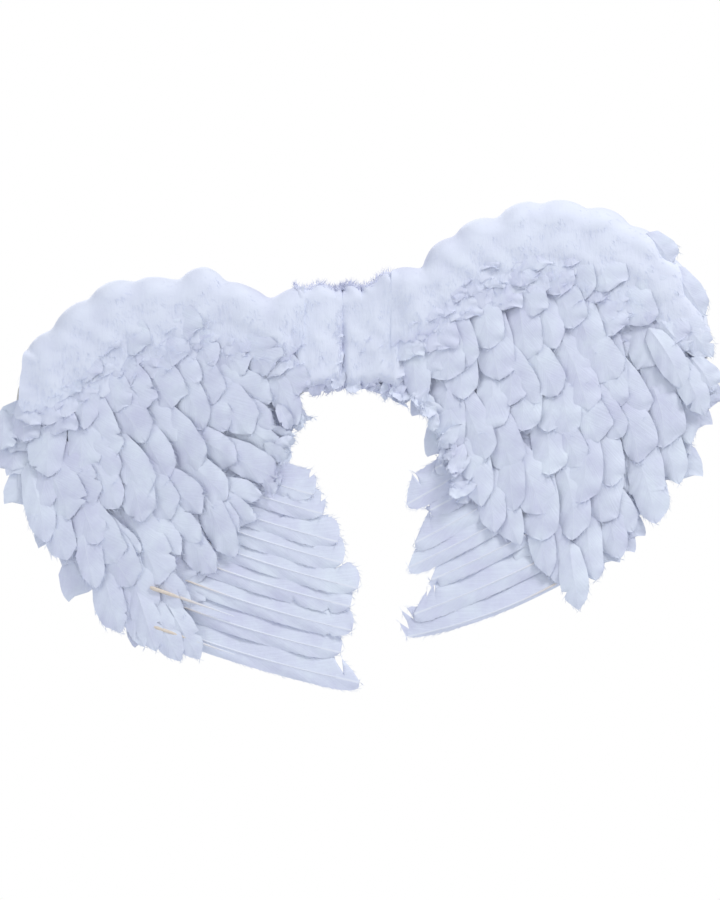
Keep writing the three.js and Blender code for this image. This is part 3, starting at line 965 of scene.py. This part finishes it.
def soft_scales(points, centres, ways, length, width):
    """Relief of overlapping soft plumes: each rises towards its rounded tip; 0 to 1 at each point."""
    height = np.zeros(len(points))
    for centre, way in zip(centres, ways):
        gap = points - centre
        along = gap @ way / length
        across = gap @ np.array([-way[1], way[0]]) / width
        near = (np.abs(along) < 1.2) & (np.abs(across) < 1.2)
        if not near.any():
            continue
        reach = np.clip(1 - (np.maximum(along[near], 0) / 0.55) ** 2 - across[near] ** 2, 0, 1)
        climb = np.clip((along[near] + 1) / 1.5, 0, 1)
        height[near] = np.maximum(height[near], climb * np.minimum(1, reach * 3.5) ** 0.7)
    return height


def scattered(loop, gap, rng, tries=1500):
    """Places inside an outline, none nearer than the gap to another."""
    low, high = loop.min(axis=0), loop.max(axis=0)
    places = rng.uniform(low, high, (tries, 2))
    kept = []
    for place in places[inside(loop, places)]:
        if not kept or np.linalg.norm(np.array(kept) - place, axis=1).min() > gap:
            kept.append(place)
    return np.array(kept)


def cushion_front(x):
    """Y of the down's face: deepest out on the wings, shallow over the spine."""
    return -0.021 - 0.009 * smoothstep(0.010, 0.070, np.abs(x))


def lay_blanket(pile, loop, back, lean, rng, pitch=0.0026, round_over=0.020, hem=None, relief=0.0009,
                crease=None, closed=None, centres=None, sink=None):
    """A cushion of down, rounded over along the closed part of its rim and low along its hem."""
    points, triangles, rim = sheet_points(loop, pitch)
    if closed is not None:
        rim = rim[closed(rim)]
    to_rim = distance_to(rim, points)
    front = cushion_front(points[:, 0])
    edge = np.clip(to_rim / round_over, 0, 1)
    swell = np.sqrt(edge * (2 - edge))
    if hem is not None:
        flat = np.clip(1 - distance_to(hem, points) / 0.034, 0, 1)
        swell = np.maximum(swell, smoothstep(0.0, 0.25, flat) * 0.99) - 0.17 * smoothstep(0.1, 1.0, flat)
    if centres is None:
        centres = scattered(loop, 0.021, rng)
    ways = np.array([lean(c) for c in centres])
    if sink is not None:
        front = front + sink(points)
    depth = relief * (soft_scales(points, centres, ways, 0.034, 0.019) - 0.8)
    depth += 0.0009 * (np.sin(points[:, 0] * 150 + 1.3 * np.sin(points[:, 1] * 90))
                       * np.sin(points[:, 1] * 130 + 2))
    depth *= smoothstep(0.0, 0.011, np.abs(np.abs(points[:, 0]) - CUSHION_START))
    if crease is not None:
        fade = smoothstep(loop[:, 1].max() - 0.010, loop[:, 1].min() + 0.015, points[:, 1])
        depth -= 0.006 * np.exp(-((points[:, 0] - crease) / 0.0028) ** 2) * swell * fade
    height = back + (front - back) * swell - depth * np.clip(to_rim / 0.008, 0.1, 1)
    under = back - 0.0008 - 0.002 * (1 - edge)
    outer = raised(points, np.minimum(height, under - 0.0006))
    # Painted light and shade: the tone follows the relief, lighter where the down stands proud and darker
    # in its hollows and crease. Near the middle a band of painted shade darkens it along the rim.
    tone = 0.87 + 120 * depth
    tone -= 0.7 * np.exp(-to_rim / 0.0035) * (1 - smoothstep(0.09, 0.14, np.abs(points[:, 0])))
    tone = np.tile(np.clip(tone, 0, 1), 2)
    add_shell(pile, points, triangles, outer, raised(points, under), tone, to_show_side=True)
    return points, outer, to_rim, rim


def lay_fuzz(pile, points, surface, to_rim, rim, lean, rng, count, length=0.009, radius=0.00012):
    """Barbs that lie along the cushion, and a fringe that stands out from its rim."""
    pick = rng.choice(np.flatnonzero((to_rim > 0.005) | (rng.random(len(points)) < 0.12)), count)
    flat = points[pick] + rng.normal(0, 0.0007, (count, 2))
    roots = raised(flat, surface[pick, 1] + 0.0002)
    order = np.lexsort((flat[:, 1], np.round(flat[:, 0], 2)))
    flat, roots, pick = flat[order], roots[order], pick[order]
    ways = np.array([lean(f) for f in flat[::25]])
    ways = np.repeat(ways, 25, axis=0)[:count]
    ways = spun(ways, rng.normal(0, 0.45, count))
    near = 0.6 * np.exp(-to_rim[pick] / 0.005)[:, None]
    nearest = np.linalg.norm(flat[:, None, :] - rim[None, ::3, :], axis=2).argmin(axis=1)
    ways = unit(ways * (1 - near) + unit(rim[::3][nearest] - flat) * near)
    lift = rng.uniform(0.0, 0.06, count)
    directions = unit(raised(ways, -lift + 0.25 * near[:, 0]))
    lengths = length * rng.uniform(0.4, 1.1, count) * (1 - 0.45 * near[:, 0])
    lay_barbs(pile, 0, roots, directions, lengths, radius, rng, rng.uniform(0.6, 1.0, count), curl=0.25)


def rectangle(x0, x1, z0, z1):
    return np.array([(x0, z0), (x1, z0), (x1, z1), (x0, z1)])


def softened(loop, rounds=3):
    """An outline with its corners eased."""
    for _ in range(rounds):
        loop = (np.roll(loop, 1, axis=0) + 2 * loop + np.roll(loop, -1, axis=0)) / 4
    return loop


def lay_ruffles(pile, first_cell, places, outward, back, front, rng, size=(0.014, 0.026)):
    """Small curled feathers, tips at the places given, crowded along a free edge."""
    for number, place in enumerate(places):
        way = turned(outward(place), rng.normal(0, math.radians(24)))
        width, length = size[0] * rng.uniform(0.8, 1.3), size[1] * rng.uniform(0.8, 1.3)
        tip = place + way * rng.uniform(-0.004, 0.006)
        root = tip - way * length
        deep = rng.uniform(front, back)
        lay_feather(
            pile, first_cell + number, raised(root, deep), raised(tip, deep), width,
            covert_shape(rng.uniform(0.2, 1.0)), rng, rows=14, half_columns=3,
            cup=rng.uniform(-0.25, 0.25), arch=rng.uniform(0.0, 0.12), curl=rng.uniform(-0.25, 0.35),
            bow=rng.normal(0, 0.12), roll=math.radians(rng.normal(4, 17)), ragged=0.10, splits=1,
            shaft_rise=0.0, tone=float(rng.uniform(0.1, 0.9)), loose=24, loose_length=0.006)


def lay_brim(pile, brim, rng, count, length=0.006):
    """Short dark barbs that stand up along the top of the down; their dark tone is painted shade."""
    roots = brim[rng.integers(0, len(brim), count)]
    angle = rng.normal(0, 0.55, count)
    directions = unit(np.stack([np.sin(angle), rng.uniform(-0.3, 0.1, count), np.cos(angle)], axis=1))
    lay_barbs(pile, 0, roots, directions, length * rng.uniform(0.4, 1.2, count), 0.00024, rng,
              rng.uniform(0.0, 0.4, count), curl=0.5)


def lay_wisps(pile, line, surface_y, lean, rng, count, length, radius=0.00020):
    """Long loose barbs that lie over the hem of the down and blur it into what is below."""
    pick = rng.integers(0, len(line), count)
    main = np.array([lean(place) for place in line])[pick]
    level = np.array([surface_y(place) for place in line])[pick]
    ways = spun(main, rng.normal(0, 0.35, count))
    flat = line[pick] + rng.normal(0, 0.004, (count, 2)) - ways * rng.uniform(0.0, length, (count, 1))
    directions = unit(raised(ways, -rng.uniform(0.0, 0.05, count)))
    lay_barbs(pile, 0, raised(flat, level - 0.0012), directions, length * rng.uniform(0.5, 1.2, count),
              radius, rng, rng.uniform(0.85, 1.0, count), curl=0.3)


def lay_soft_plumes(pile, first_cell, places, surface_y, lean, size, rng, covers=None):
    """Broad soft plumes rooted in the cushion, their tips lying flat over what is below."""
    width, length = size
    for number, place in enumerate(places):
        way = turned(lean(place), rng.normal(0, math.radians(11)))
        long = length * rng.uniform(0.8, 1.1)
        if covers is not None:
            long = shorten(long, LEAST_PLUME, covers, place, way)
        if long <= LEAST_PLUME:
            continue
        root = place - way * long
        lay_feather(
            pile, first_cell + number, raised(root, surface_y(root) + 0.010),
            raised(place, surface_y(place) + 0.0002), width * rng.uniform(0.85, 1.15),
            covert_shape(rng.uniform(0.4, 1.2)), rng, rows=20, half_columns=5, cup=rng.uniform(0.08, 0.12),
            arch=rng.uniform(0.01, 0.03), curl=rng.uniform(-0.02, 0.0), bow=rng.normal(0, 0.04),
            roll=math.radians(rng.normal(5, 2)), ragged=0.035, shaft_rise=0.0,
            thickness=0.0008, tone=float(rng.uniform(0.4, 0.9)), loose=40, loose_length=0.008)


def build_down_band(side, sizes, materials):
    """A cushion of down along the crest, its hem feathered over the top coverts."""
    rng = drawer(sizes, 200, side)
    band = outline_of(f"{side}_down_band")
    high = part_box(f"{side}_down_band")[1]
    field = WingField(side)
    pile = Pile()

    def lean(point):
        return lean_at(side, point)

    loop = softened(resample(band, 0.004)[0])
    loop[:, 0] = np.copysign(np.maximum(np.abs(loop[:, 0]), CUSHION_START), loop[:, 0])
    hem = distance_to(field.crest, loop) < 0.0045
    drop = sizes.down_length * 0.42
    for index in np.flatnonzero(hem):
        ends = np.abs(index - np.flatnonzero(~hem)).min()
        eased = drop * min(1, ends * 0.004 / 0.05)
        lower = loop[index] + lean(loop[index]) * eased * rng.uniform(0.8, 1.15)
        if field.covers(lower):
            loop[index] = lower
    inner = np.abs(loop[:, 0]).min() + 0.006
    points, surface, to_rim, rim = lay_blanket(
        pile, loop, high[1], lean, rng, hem=loop[hem], closed=lambda rim: np.abs(rim[:, 0]) > inner)
    lay_fuzz(pile, points, surface, to_rim, rim, lean, rng, sizes.strands)

    def surface_y(place):
        cushion = surface[np.linalg.norm(points - place, axis=1).argmin(), 1]
        return float(min(cushion, outward_height(side, field.share(place)) - 0.0022))

    def rooted(place):
        return bool(inside(loop, place)[0]) and distance_to(rim, place[None])[0] > 0.011

    line = loop[hem]
    staggered = (((0.012, 0.020), 0), ((0.000, 0.008), 2), ((-0.016, -0.008), 1))
    places = np.array([place + lean(place) * rng.uniform(*reach)
                       for reach, first in staggered for place in line[first::4]])
    on_wing = inside(field.outline, places) | inside(loop, places)
    clear = (distance_to(field.rim, places) > 0.008) & (np.abs(places[:, 0]) > CUSHION_START + 0.016)
    places = places[on_wing & clear]
    lay_wisps(pile, line, surface_y, lean, rng, sizes.strands // 6, 0.012, 0.00013)
    plume = (sizes.down_width * 0.85, sizes.down_length * 0.9)
    lay_soft_plumes(pile, 1, places, surface_y, lean, plume, rng, covers=rooted)
    piece = pile.build(f"{side}_down", [materials["down"]])
    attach(piece, f"{side}_wing")
    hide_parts(f"{side}_down_band")


def gusset_sink(points):
    """How far the gusset lies below the wings' cushions: level with them, then running in under them."""
    out = np.abs(points[:, 0])
    under_edge = 0.006 * smoothstep(0.046, 0.056, out)
    beside_hem = 0.0032 * smoothstep(0.026, 0.045, out) * smoothstep(0.048, 0.015, points[:, 1])
    return 0.0003 * smoothstep(0.036, 0.041, out) + under_edge + beside_hem


def build_centre_down(sizes, materials):
    """Down over the spine, creased beside its middle, and a soft gusset across each fold."""
    rng = drawer(sizes, 300)
    low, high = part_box("centre_down")
    folds = {side: joint_place(f"{side}_wing")[0] for side in SIDES}
    crease = -0.005
    gusset = 0.034
    start, end = low[0] + 0.003, high[0] - 0.003
    plans = {
        "left_spine_down": (start, crease, "left"),
        "right_spine_down": (crease, end, "right"),
        "left_fold_down": (folds["left"] - gusset, start, "left"),
        "right_fold_down": (end, folds["right"] + gusset, "right"),
    }
    top, bottom = high[2] + 0.002, low[2] - 0.002
    centres = scattered(rectangle(-0.05, 0.05, bottom, top), 0.019, rng)

    def lean(point):
        return turned(STRAIGHT_DOWN, 0.12 + 2.0 * point[0])

    for name, (x0, x1, side) in plans.items():
        pile = Pile()
        over_spine = "spine" in name
        loop = resample(rectangle(x0, x1, bottom, top), 0.003)[0]
        loop[:, 1] += 0.0025 * np.sin(loop[:, 0] * 210 + 1) + np.where(loop[:, 0] > 0.014, 0.003, 0)
        loop[:, 1] += 0.011 * smoothstep(0.020, 0.043, loop[:, 0]) * (loop[:, 1] > (top + bottom) / 2)
        points, surface, to_rim, rim = lay_blanket(
            pile, loop, high[1], lean, rng, round_over=0.012, crease=crease if over_spine else None,
            closed=lambda rim: (rim[:, 1] < bottom + 0.006) | (rim[:, 1] > top - 0.006),
            centres=centres, sink=gusset_sink)
        lay_fuzz(pile, points, surface, to_rim, rim, lean, rng, sizes.strands // 6)
        brim = surface[(points[:, 1] > top - 0.006) & (to_rim < 0.004)]
        lay_brim(pile, brim, rng, 170)

        def surface_y(place):
            return float(surface[np.linalg.norm(points - place, axis=1).argmin(), 1])

        places = scattered(loop, 0.014, rng)
        places = places[(places[:, 1] < (top + bottom) / 2 - (0.016 if over_spine else 0.002))
                        & (np.abs(places[:, 0]) < 0.053)]
        if over_spine:
            places = places[(np.abs(places[:, 0] - crease) > 0.006) & (np.abs(places[:, 0]) < 0.007)]
        lay_soft_plumes(pile, 1, places, surface_y, lean, (0.022, 0.038), rng)
        hanging = np.arange(x0 + 0.003, x1, 0.0045)
        if over_spine:
            hanging = hanging[(np.abs(hanging) < 0.010) & (np.abs(hanging - crease) > 0.003)]
        fringe = np.array([(x, bottom + rng.uniform(-0.004, 0.004)) for x in hanging])
        lay_ruffles(pile, 1 + len(places), fringe, lambda place: STRAIGHT_DOWN, -0.009, -0.017, rng)
        piece = pile.build(name, [materials["down"]])
        if over_spine:
            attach(piece, "spine")
            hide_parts("centre_down")
            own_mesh(piece)
        else:
            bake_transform(piece)


# ---------- felt, pad and elastic ----------
def sheet_points(loop, pitch):
    """Points filling an outline for a cloth mesh, and the triangles between them."""
    rim = resample(loop, pitch)[0]
    low, high = loop.min(axis=0), loop.max(axis=0)
    columns = np.arange(low[0], high[0], pitch)
    rows = np.arange(low[1], high[1], pitch * 0.866)
    fill = np.array([(x + (k % 2) * pitch / 2, z) for k, z in enumerate(rows) for x in columns])
    fill = fill[inside(loop, fill)]
    fill = fill[distance_to(rim, fill) > pitch * 0.55]
    points = np.vstack([rim, fill])
    edges = [(i, (i + 1) % len(rim)) for i in range(len(rim))]
    made = delaunay_2d_cdt([Vector(p) for p in points], edges, [], 1, 1e-7)
    return np.array([v[:] for v in made[0]]), np.array(made[2]), rim


def add_shell(pile, points, triangles, outer, inner, tone=0.5, to_show_side=False):
    """Adds two matching faces and the wall round their rim. It goes into an empty pile."""
    a, b, c = (points[triangles[:, k]] for k in range(3))
    turn = (b[:, 0] - a[:, 0]) * (c[:, 1] - a[:, 1]) - (b[:, 1] - a[:, 1]) * (c[:, 0] - a[:, 0])
    triangles = np.where(((turn > 0) == to_show_side)[:, None], triangles, triangles[:, ::-1])
    edges = {(int(p), int(q)) for t in triangles for p, q in zip(t, np.roll(t, -1))}
    free = [(p, q) for p, q in edges if (q, p) not in edges]
    count = len(points)
    walls = np.array([(q, p, p + count, q + count) for p, q in free])
    place = np.vstack([points, points])
    faces = np.vstack([triangles, triangles[:, ::-1] + count])
    pile.add(np.vstack([outer, inner]), faces, place, 0, tone, back_faces=len(triangles))
    pile.faces.append((walls, 4, 0))
    pile.barb.append(place[walls].reshape(-1, 2))
    pile.atlas.append((np.full((len(walls) * 4, 2), 0.01), 0))


def cloth_piece(name, loop, pitch, relief, thickness, material):
    """A sheet with a face, a back and a rim; relief(points, rim distance) gives its Y."""
    points, triangles, rim = sheet_points(loop, pitch)
    y = relief(points, distance_to(rim, points))
    pile = Pile()
    add_shell(pile, points, triangles, raised(points, y + thickness / 2), raised(points, y - thickness / 2))
    return pile.build(name, [material])


def build_felt(side, materials):
    """The felt on the back of a wing runs on over the fold to the spine."""
    name = f"{side}_felt_back"
    loop = outline_of(name)
    low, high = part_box(name)
    middle = (low[1] + high[1]) / 2
    way, fold = WAY_OUT[side], joint_place(f"{side}_wing")[0]
    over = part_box("back_pad")[1][0] + 0.0006
    near = np.abs(loop[:, 0]) < abs(fold) + 0.0045
    loop = loop.copy()
    loop[near, 0] = way * over

    def relief(points, to_rim):
        x, z = points[:, 0], points[:, 1]
        waves = 0.00035 * (np.sin(x * 95 + z * 40) + np.sin(z * 120 - x * 30))
        glued = np.clip(to_rim / 0.006, 0, 1)
        return middle + waves * glued + 0.0007 * glued

    piece = cloth_piece(f"{side}_felt_cover", loop, 0.0055, relief, 0.0009, materials["felt"])
    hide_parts(name)
    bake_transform(piece)


def build_pad(materials):
    """A stuffed pad with a sewn channel inside its edge."""
    low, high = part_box("back_pad")
    points, triangles, rim = sheet_points(outline_of("back_pad"), 0.0016)
    to_rim = distance_to(rim, points)
    rise = np.clip(to_rim / 0.010, 0, 1)
    swell = 0.30 + 0.70 * np.sqrt(rise * (2 - rise))
    seam = np.exp(-((to_rim - 0.0045) / 0.0008) ** 2) * 0.28
    half = (high[1] - low[1]) / 2 * np.clip(swell - seam, 0.15, 1)
    centre = (low[1] + high[1]) / 2
    pile = Pile()
    add_shell(pile, points, triangles, raised(points, centre + half), raised(points, centre - half))
    piece = pile.build("felt_back_pad", [materials["felt"]])
    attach(piece, "spine")
    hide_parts("back_pad")


def strap_route(side):
    """The band's centre line in its own splayed plane: distance from the swing axis, and height."""
    low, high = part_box(f"{side}_strap_end_upper")
    start = low[2]
    bend_from = high[2] + 0.0006
    bend = 0.006
    top = bend_from + bend
    reach = 0.120
    quarter = np.linspace(0, math.pi / 2, 9)
    half = np.linspace(math.pi / 2, -math.pi / 2, 56)
    rise = [(0.0, z) for z in np.linspace(start, bend_from, 5)[:-1]]
    turn = [(bend * (1 - math.cos(q)), bend_from + bend * math.sin(q)) for q in quarter]
    run = [(x, top) for x in np.linspace(bend, reach - top, 14)[1:-1]]
    far = [(reach - top + top * math.cos(q), top * math.sin(q)) for q in half]
    upper = rise + turn + run
    return np.array(upper + far + [(x, -z) for x, z in reversed(upper)])


def build_strap(side, materials):
    route = strap_route(side)
    axis = joint_place(f"{side}_arm_loop")
    width, thick, rib_count = 0.010, 0.0012, 9
    splay = math.radians(15) * WAY_OUT[side]
    step = unit(np.gradient(route, axis=0))
    normal = np.stack([-step[:, 1], step[:, 0]], axis=1)
    travelled = np.concatenate([[0], np.cumsum(np.linalg.norm(np.diff(route, axis=0), axis=1))])
    across = np.linspace(-0.5, 0.5, 19)
    ribs = 0.5 - 0.12 * np.cos(across * rib_count * 2 * math.pi)
    edge = np.where(np.abs(across) > 0.49, 0.25, 1.0)
    splayed = smoothstep(-0.0005, 0.006, route[:, 0])
    points = []
    for face in (1, -1):
        offset = face * thick * ribs * edge
        reach = route[:, None, 0] + normal[:, None, 0] * offset[None, :]
        height = route[:, None, 1] + normal[:, None, 1] * offset[None, :]
        side_step = np.tile(across * width, (len(route), 1))
        angle = splay * splayed[:, None]
        x = axis[0] + np.sin(angle) * reach + np.cos(angle) * side_step
        y = axis[1] + np.cos(angle) * reach - np.sin(angle) * side_step
        points.append(np.stack([x, y, height], axis=-1).reshape(-1, 3))
    rows, columns = len(route), len(across)
    index = np.arange(rows * columns).reshape(rows, columns)
    top = np.stack([index[:-1, :-1], index[:-1, 1:], index[1:, 1:], index[1:, :-1]], axis=-1).reshape(-1, 4)
    below = top[:, ::-1] + rows * columns
    rim = np.concatenate([index[0, :], index[1:, -1], index[-1, -2::-1], index[-2:0:-1, 0]])
    after = np.roll(rim, -1)
    walls = np.stack([after, rim, rim + rows * columns, after + rows * columns], axis=1)
    barb = np.stack([np.tile(across * width, rows), np.repeat(travelled, columns)], axis=1)
    pile = Pile()
    pile.add(np.vstack(points), np.vstack([top, below, walls])[:, ::-1], np.vstack([barb, barb]), 0, 0.5)
    piece = pile.build(f"{side}_elastic_loop", [materials["elastic"]])
    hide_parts(f"{side}_strap", f"{side}_strap_end_upper", f"{side}_strap_end_lower")
    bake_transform(piece)


# ---------- stage ----------
LAMPS = (
    # name, place, size, power, colour
    ("key", (1.6, -1.25, 1.9), 0.8, 38, (1.0, 0.99, 0.97)),
    ("fill", (-1.9, -1.7, 0.3), 1.6, 7, (0.93, 0.96, 1.0)),
    ("rear", (-0.9, 2.0, 1.2), 1.4, 20, (0.97, 0.98, 1.0)),
)
LAMPS_AIM = Vector((0.0, 0.0, -0.08))


def add_camera(scene):
    target_x, target_z = 0.012, -0.112
    view_height = 0.90
    lens, sensor = 85.0, 36.0
    camera = bpy.data.objects.new("camera", bpy.data.cameras.new("camera"))
    camera.data.lens = lens
    camera.data.sensor_width = sensor
    camera.data.clip_end = 20
    camera.location = (target_x, -view_height * lens / sensor, target_z)
    camera.rotation_euler = (math.pi / 2, 0, 0)
    scene.collection.objects.link(camera)
    scene.camera = camera


def add_lamp(scene, name, place, size, power, colour):
    data = bpy.data.lights.new(name, "AREA")
    data.shape = "DISK"
    data.size = size
    data.energy = power
    data.color = colour
    lamp = bpy.data.objects.new(name, data)
    lamp.location = place
    lamp.rotation_euler = (LAMPS_AIM - Vector(place)).to_track_quat("-Z", "Y").to_euler()
    scene.collection.objects.link(lamp)


def add_world(scene):
    """A pale sky that lights the wings; the camera sees plain white in its place."""
    world = bpy.data.worlds.new("studio")
    scene.world = world
    world.use_nodes = True
    nodes, links = world.node_tree.nodes, world.node_tree.links
    ambient = nodes["Background"]
    ambient.inputs["Color"].default_value = (0.88, 0.92, 1.0, 1)
    ambient.inputs["Strength"].default_value = 0.63
    seen = nodes.new("ShaderNodeBackground")
    seen.inputs["Color"].default_value = (1, 1, 1, 1)
    mix = nodes.new("ShaderNodeMixShader")
    rays = nodes.new("ShaderNodeLightPath")
    links.new(rays.outputs["Is Camera Ray"], mix.inputs[0])
    links.new(ambient.outputs[0], mix.inputs[1])
    links.new(seen.outputs[0], mix.inputs[2])
    links.new(mix.outputs[0], nodes["World Output"].inputs["Surface"])


def add_floor(scene):
    radius, level, sides = 0.9, -0.80, 64
    angles = np.linspace(0, 2 * math.pi, sides, endpoint=False)
    ring = [(radius * math.cos(a), radius * math.sin(a), level) for a in angles]
    mesh = bpy.data.meshes.new("floor")
    mesh.from_pydata(ring, [], [list(range(sides))])
    material, shader = new_material("studio_floor", 0.9)
    paint(material, shader, noise(material, 6.0), (0.86, 0.87, 0.89), (0.90, 0.91, 0.93))
    mesh.materials.append(material)
    floor = bpy.data.objects.new("floor", mesh)
    scene.collection.objects.link(floor)


def build_stage():
    scene = bpy.context.scene
    add_camera(scene)
    for lamp in LAMPS:
        add_lamp(scene, *lamp)
    add_world(scene)
    add_floor(scene)
    scene.view_settings.view_transform = "Standard"


# ---------- operators ----------
MATERIAL_NAMES = {
    "covert": "covert_vane", "flight": "flight_vane", "down": "marabou_down", "quill": "quill_and_shaft",
    "felt": "needle_felt", "elastic": "ribbed_elastic", "card": "faced_card", "wire": "drawn_wire",
}


def wing_materials():
    """The wings' materials, made once from the colours set in the scene."""
    sizes, colours = bpy.context.scene.plumage_sizes, bpy.context.scene.plumage_colours
    if MATERIAL_NAMES["covert"] in bpy.data.materials:
        return {key: bpy.data.materials[name] for key, name in MATERIAL_NAMES.items()}
    feather, shaft = tuple(colours.feather), tuple(colours.shaft)
    return {
        "covert": vane_material(
            "covert_vane", feather, feather, barb_pitch=sizes.barb_pitch * 1.3, slant=1.6, relief=0.0007,
            contrast=0.035, shaft_width=0.0004),
        "flight": vane_material(
            "flight_vane", feather, shaft, barb_pitch=sizes.barb_pitch * 1.6, slant=2.6, relief=0.0009,
            contrast=0.05, shaft_width=0.0013),
        "down": down_material("marabou_down", tuple(colours.down)),
        "quill": quill_material("quill_and_shaft", tuple(colours.quill), shaft),
        "felt": felt_material("needle_felt", tuple(colours.felt)),
        "elastic": elastic_material("ribbed_elastic", tuple(colours.elastic)),
        "card": card_material("faced_card", tuple(colours.card)),
        "wire": wire_material("drawn_wire"),
    }


class WINGS_OT_frame(bpy.types.Operator):
    """Gives the card boards, the spine and the wires their finish"""

    bl_idname = "wings.frame"
    bl_label = "Card and Wire"

    def execute(self, context):
        materials = wing_materials()
        for name, piece in frame["nodes"].items():
            if name.endswith("_board") or name == "spine_card":
                piece.data.materials.clear()
                piece.data.materials.append(materials["card"])
            elif name.endswith("_wire"):
                piece.data.materials.clear()
                piece.data.materials.append(materials["wire"])
        return {"FINISHED"}


class WINGS_OT_coverts(bpy.types.Operator):
    """Lays the body feathers of both wings, lowest row first"""

    bl_idname = "wings.coverts"
    bl_label = "Coverts"

    def execute(self, context):
        for side in SIDES:
            laid = build_coverts(side, context.scene.plumage_sizes, wing_materials())
            print(f"{side} wing: {laid} coverts")
        return {"FINISHED"}


class WINGS_OT_flights(bpy.types.Operator):
    """Lays the flight feathers, one for each blade of the frame"""

    bl_idname = "wings.flights"
    bl_label = "Flight Feathers"

    def execute(self, context):
        for side in SIDES:
            build_flights(side, context.scene.plumage_sizes, wing_materials())
        return {"FINISHED"}


class WINGS_OT_down(bpy.types.Operator):
    """Lays the marabou down along both crests and over the spine"""

    bl_idname = "wings.down"
    bl_label = "Down"

    def execute(self, context):
        for side in SIDES:
            build_down_band(side, context.scene.plumage_sizes, wing_materials())
        build_centre_down(context.scene.plumage_sizes, wing_materials())
        return {"FINISHED"}


class WINGS_OT_felt(bpy.types.Operator):
    """Covers the wearer's side with felt and sews the back pad"""

    bl_idname = "wings.felt"
    bl_label = "Felt and Pad"

    def execute(self, context):
        for side in SIDES:
            build_felt(side, wing_materials())
        build_pad(wing_materials())
        return {"FINISHED"}


class WINGS_OT_elastic(bpy.types.Operator):
    """Makes the two elastic arm loops"""

    bl_idname = "wings.elastic"
    bl_label = "Arm Loops"

    def execute(self, context):
        for side in SIDES:
            build_strap(side, wing_materials())
        return {"FINISHED"}


class WINGS_OT_stage(bpy.types.Operator):
    """Sets up the studio: camera, soft lights, pale floor"""

    bl_idname = "wings.stage"
    bl_label = "Studio"

    def execute(self, context):
        build_stage()
        return {"FINISHED"}


class WINGS_PT_panel(bpy.types.Panel):
    """Lists the steps that dress the wings, with their sizes and colours"""

    bl_idname = "WINGS_PT_panel"
    bl_label = "Feather Wings"
    bl_space_type = "VIEW_3D"
    bl_region_type = "UI"
    bl_category = "Wings"

    def draw(self, context):
        for step in STEPS:
            self.layout.operator(step.bl_idname)
        for group in (context.scene.plumage_sizes, context.scene.plumage_colours):
            box = self.layout.box()
            for name in group.__annotations__:
                box.prop(group, name)


STEPS = (WINGS_OT_stage, WINGS_OT_frame, WINGS_OT_coverts, WINGS_OT_flights, WINGS_OT_down,
         WINGS_OT_felt, WINGS_OT_elastic)
CLASSES = (PlumageSizes, PlumageColours, *STEPS, WINGS_PT_panel)


def register():
    for kind in CLASSES:
        bpy.utils.register_class(kind)
    bpy.types.Scene.plumage_sizes = PointerProperty(type=PlumageSizes)
    bpy.types.Scene.plumage_colours = PointerProperty(type=PlumageColours)


def unregister():
    del bpy.types.Scene.plumage_colours
    del bpy.types.Scene.plumage_sizes
    for kind in reversed(CLASSES):
        bpy.utils.unregister_class(kind)


def main():
    register()
    bpy.ops.wings.stage()
    bpy.ops.wings.frame()
    bpy.ops.wings.coverts()
    bpy.ops.wings.flights()
    bpy.ops.wings.down()
    bpy.ops.wings.felt()
    bpy.ops.wings.elastic()
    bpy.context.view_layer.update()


if __name__ == "__main__":
    main()
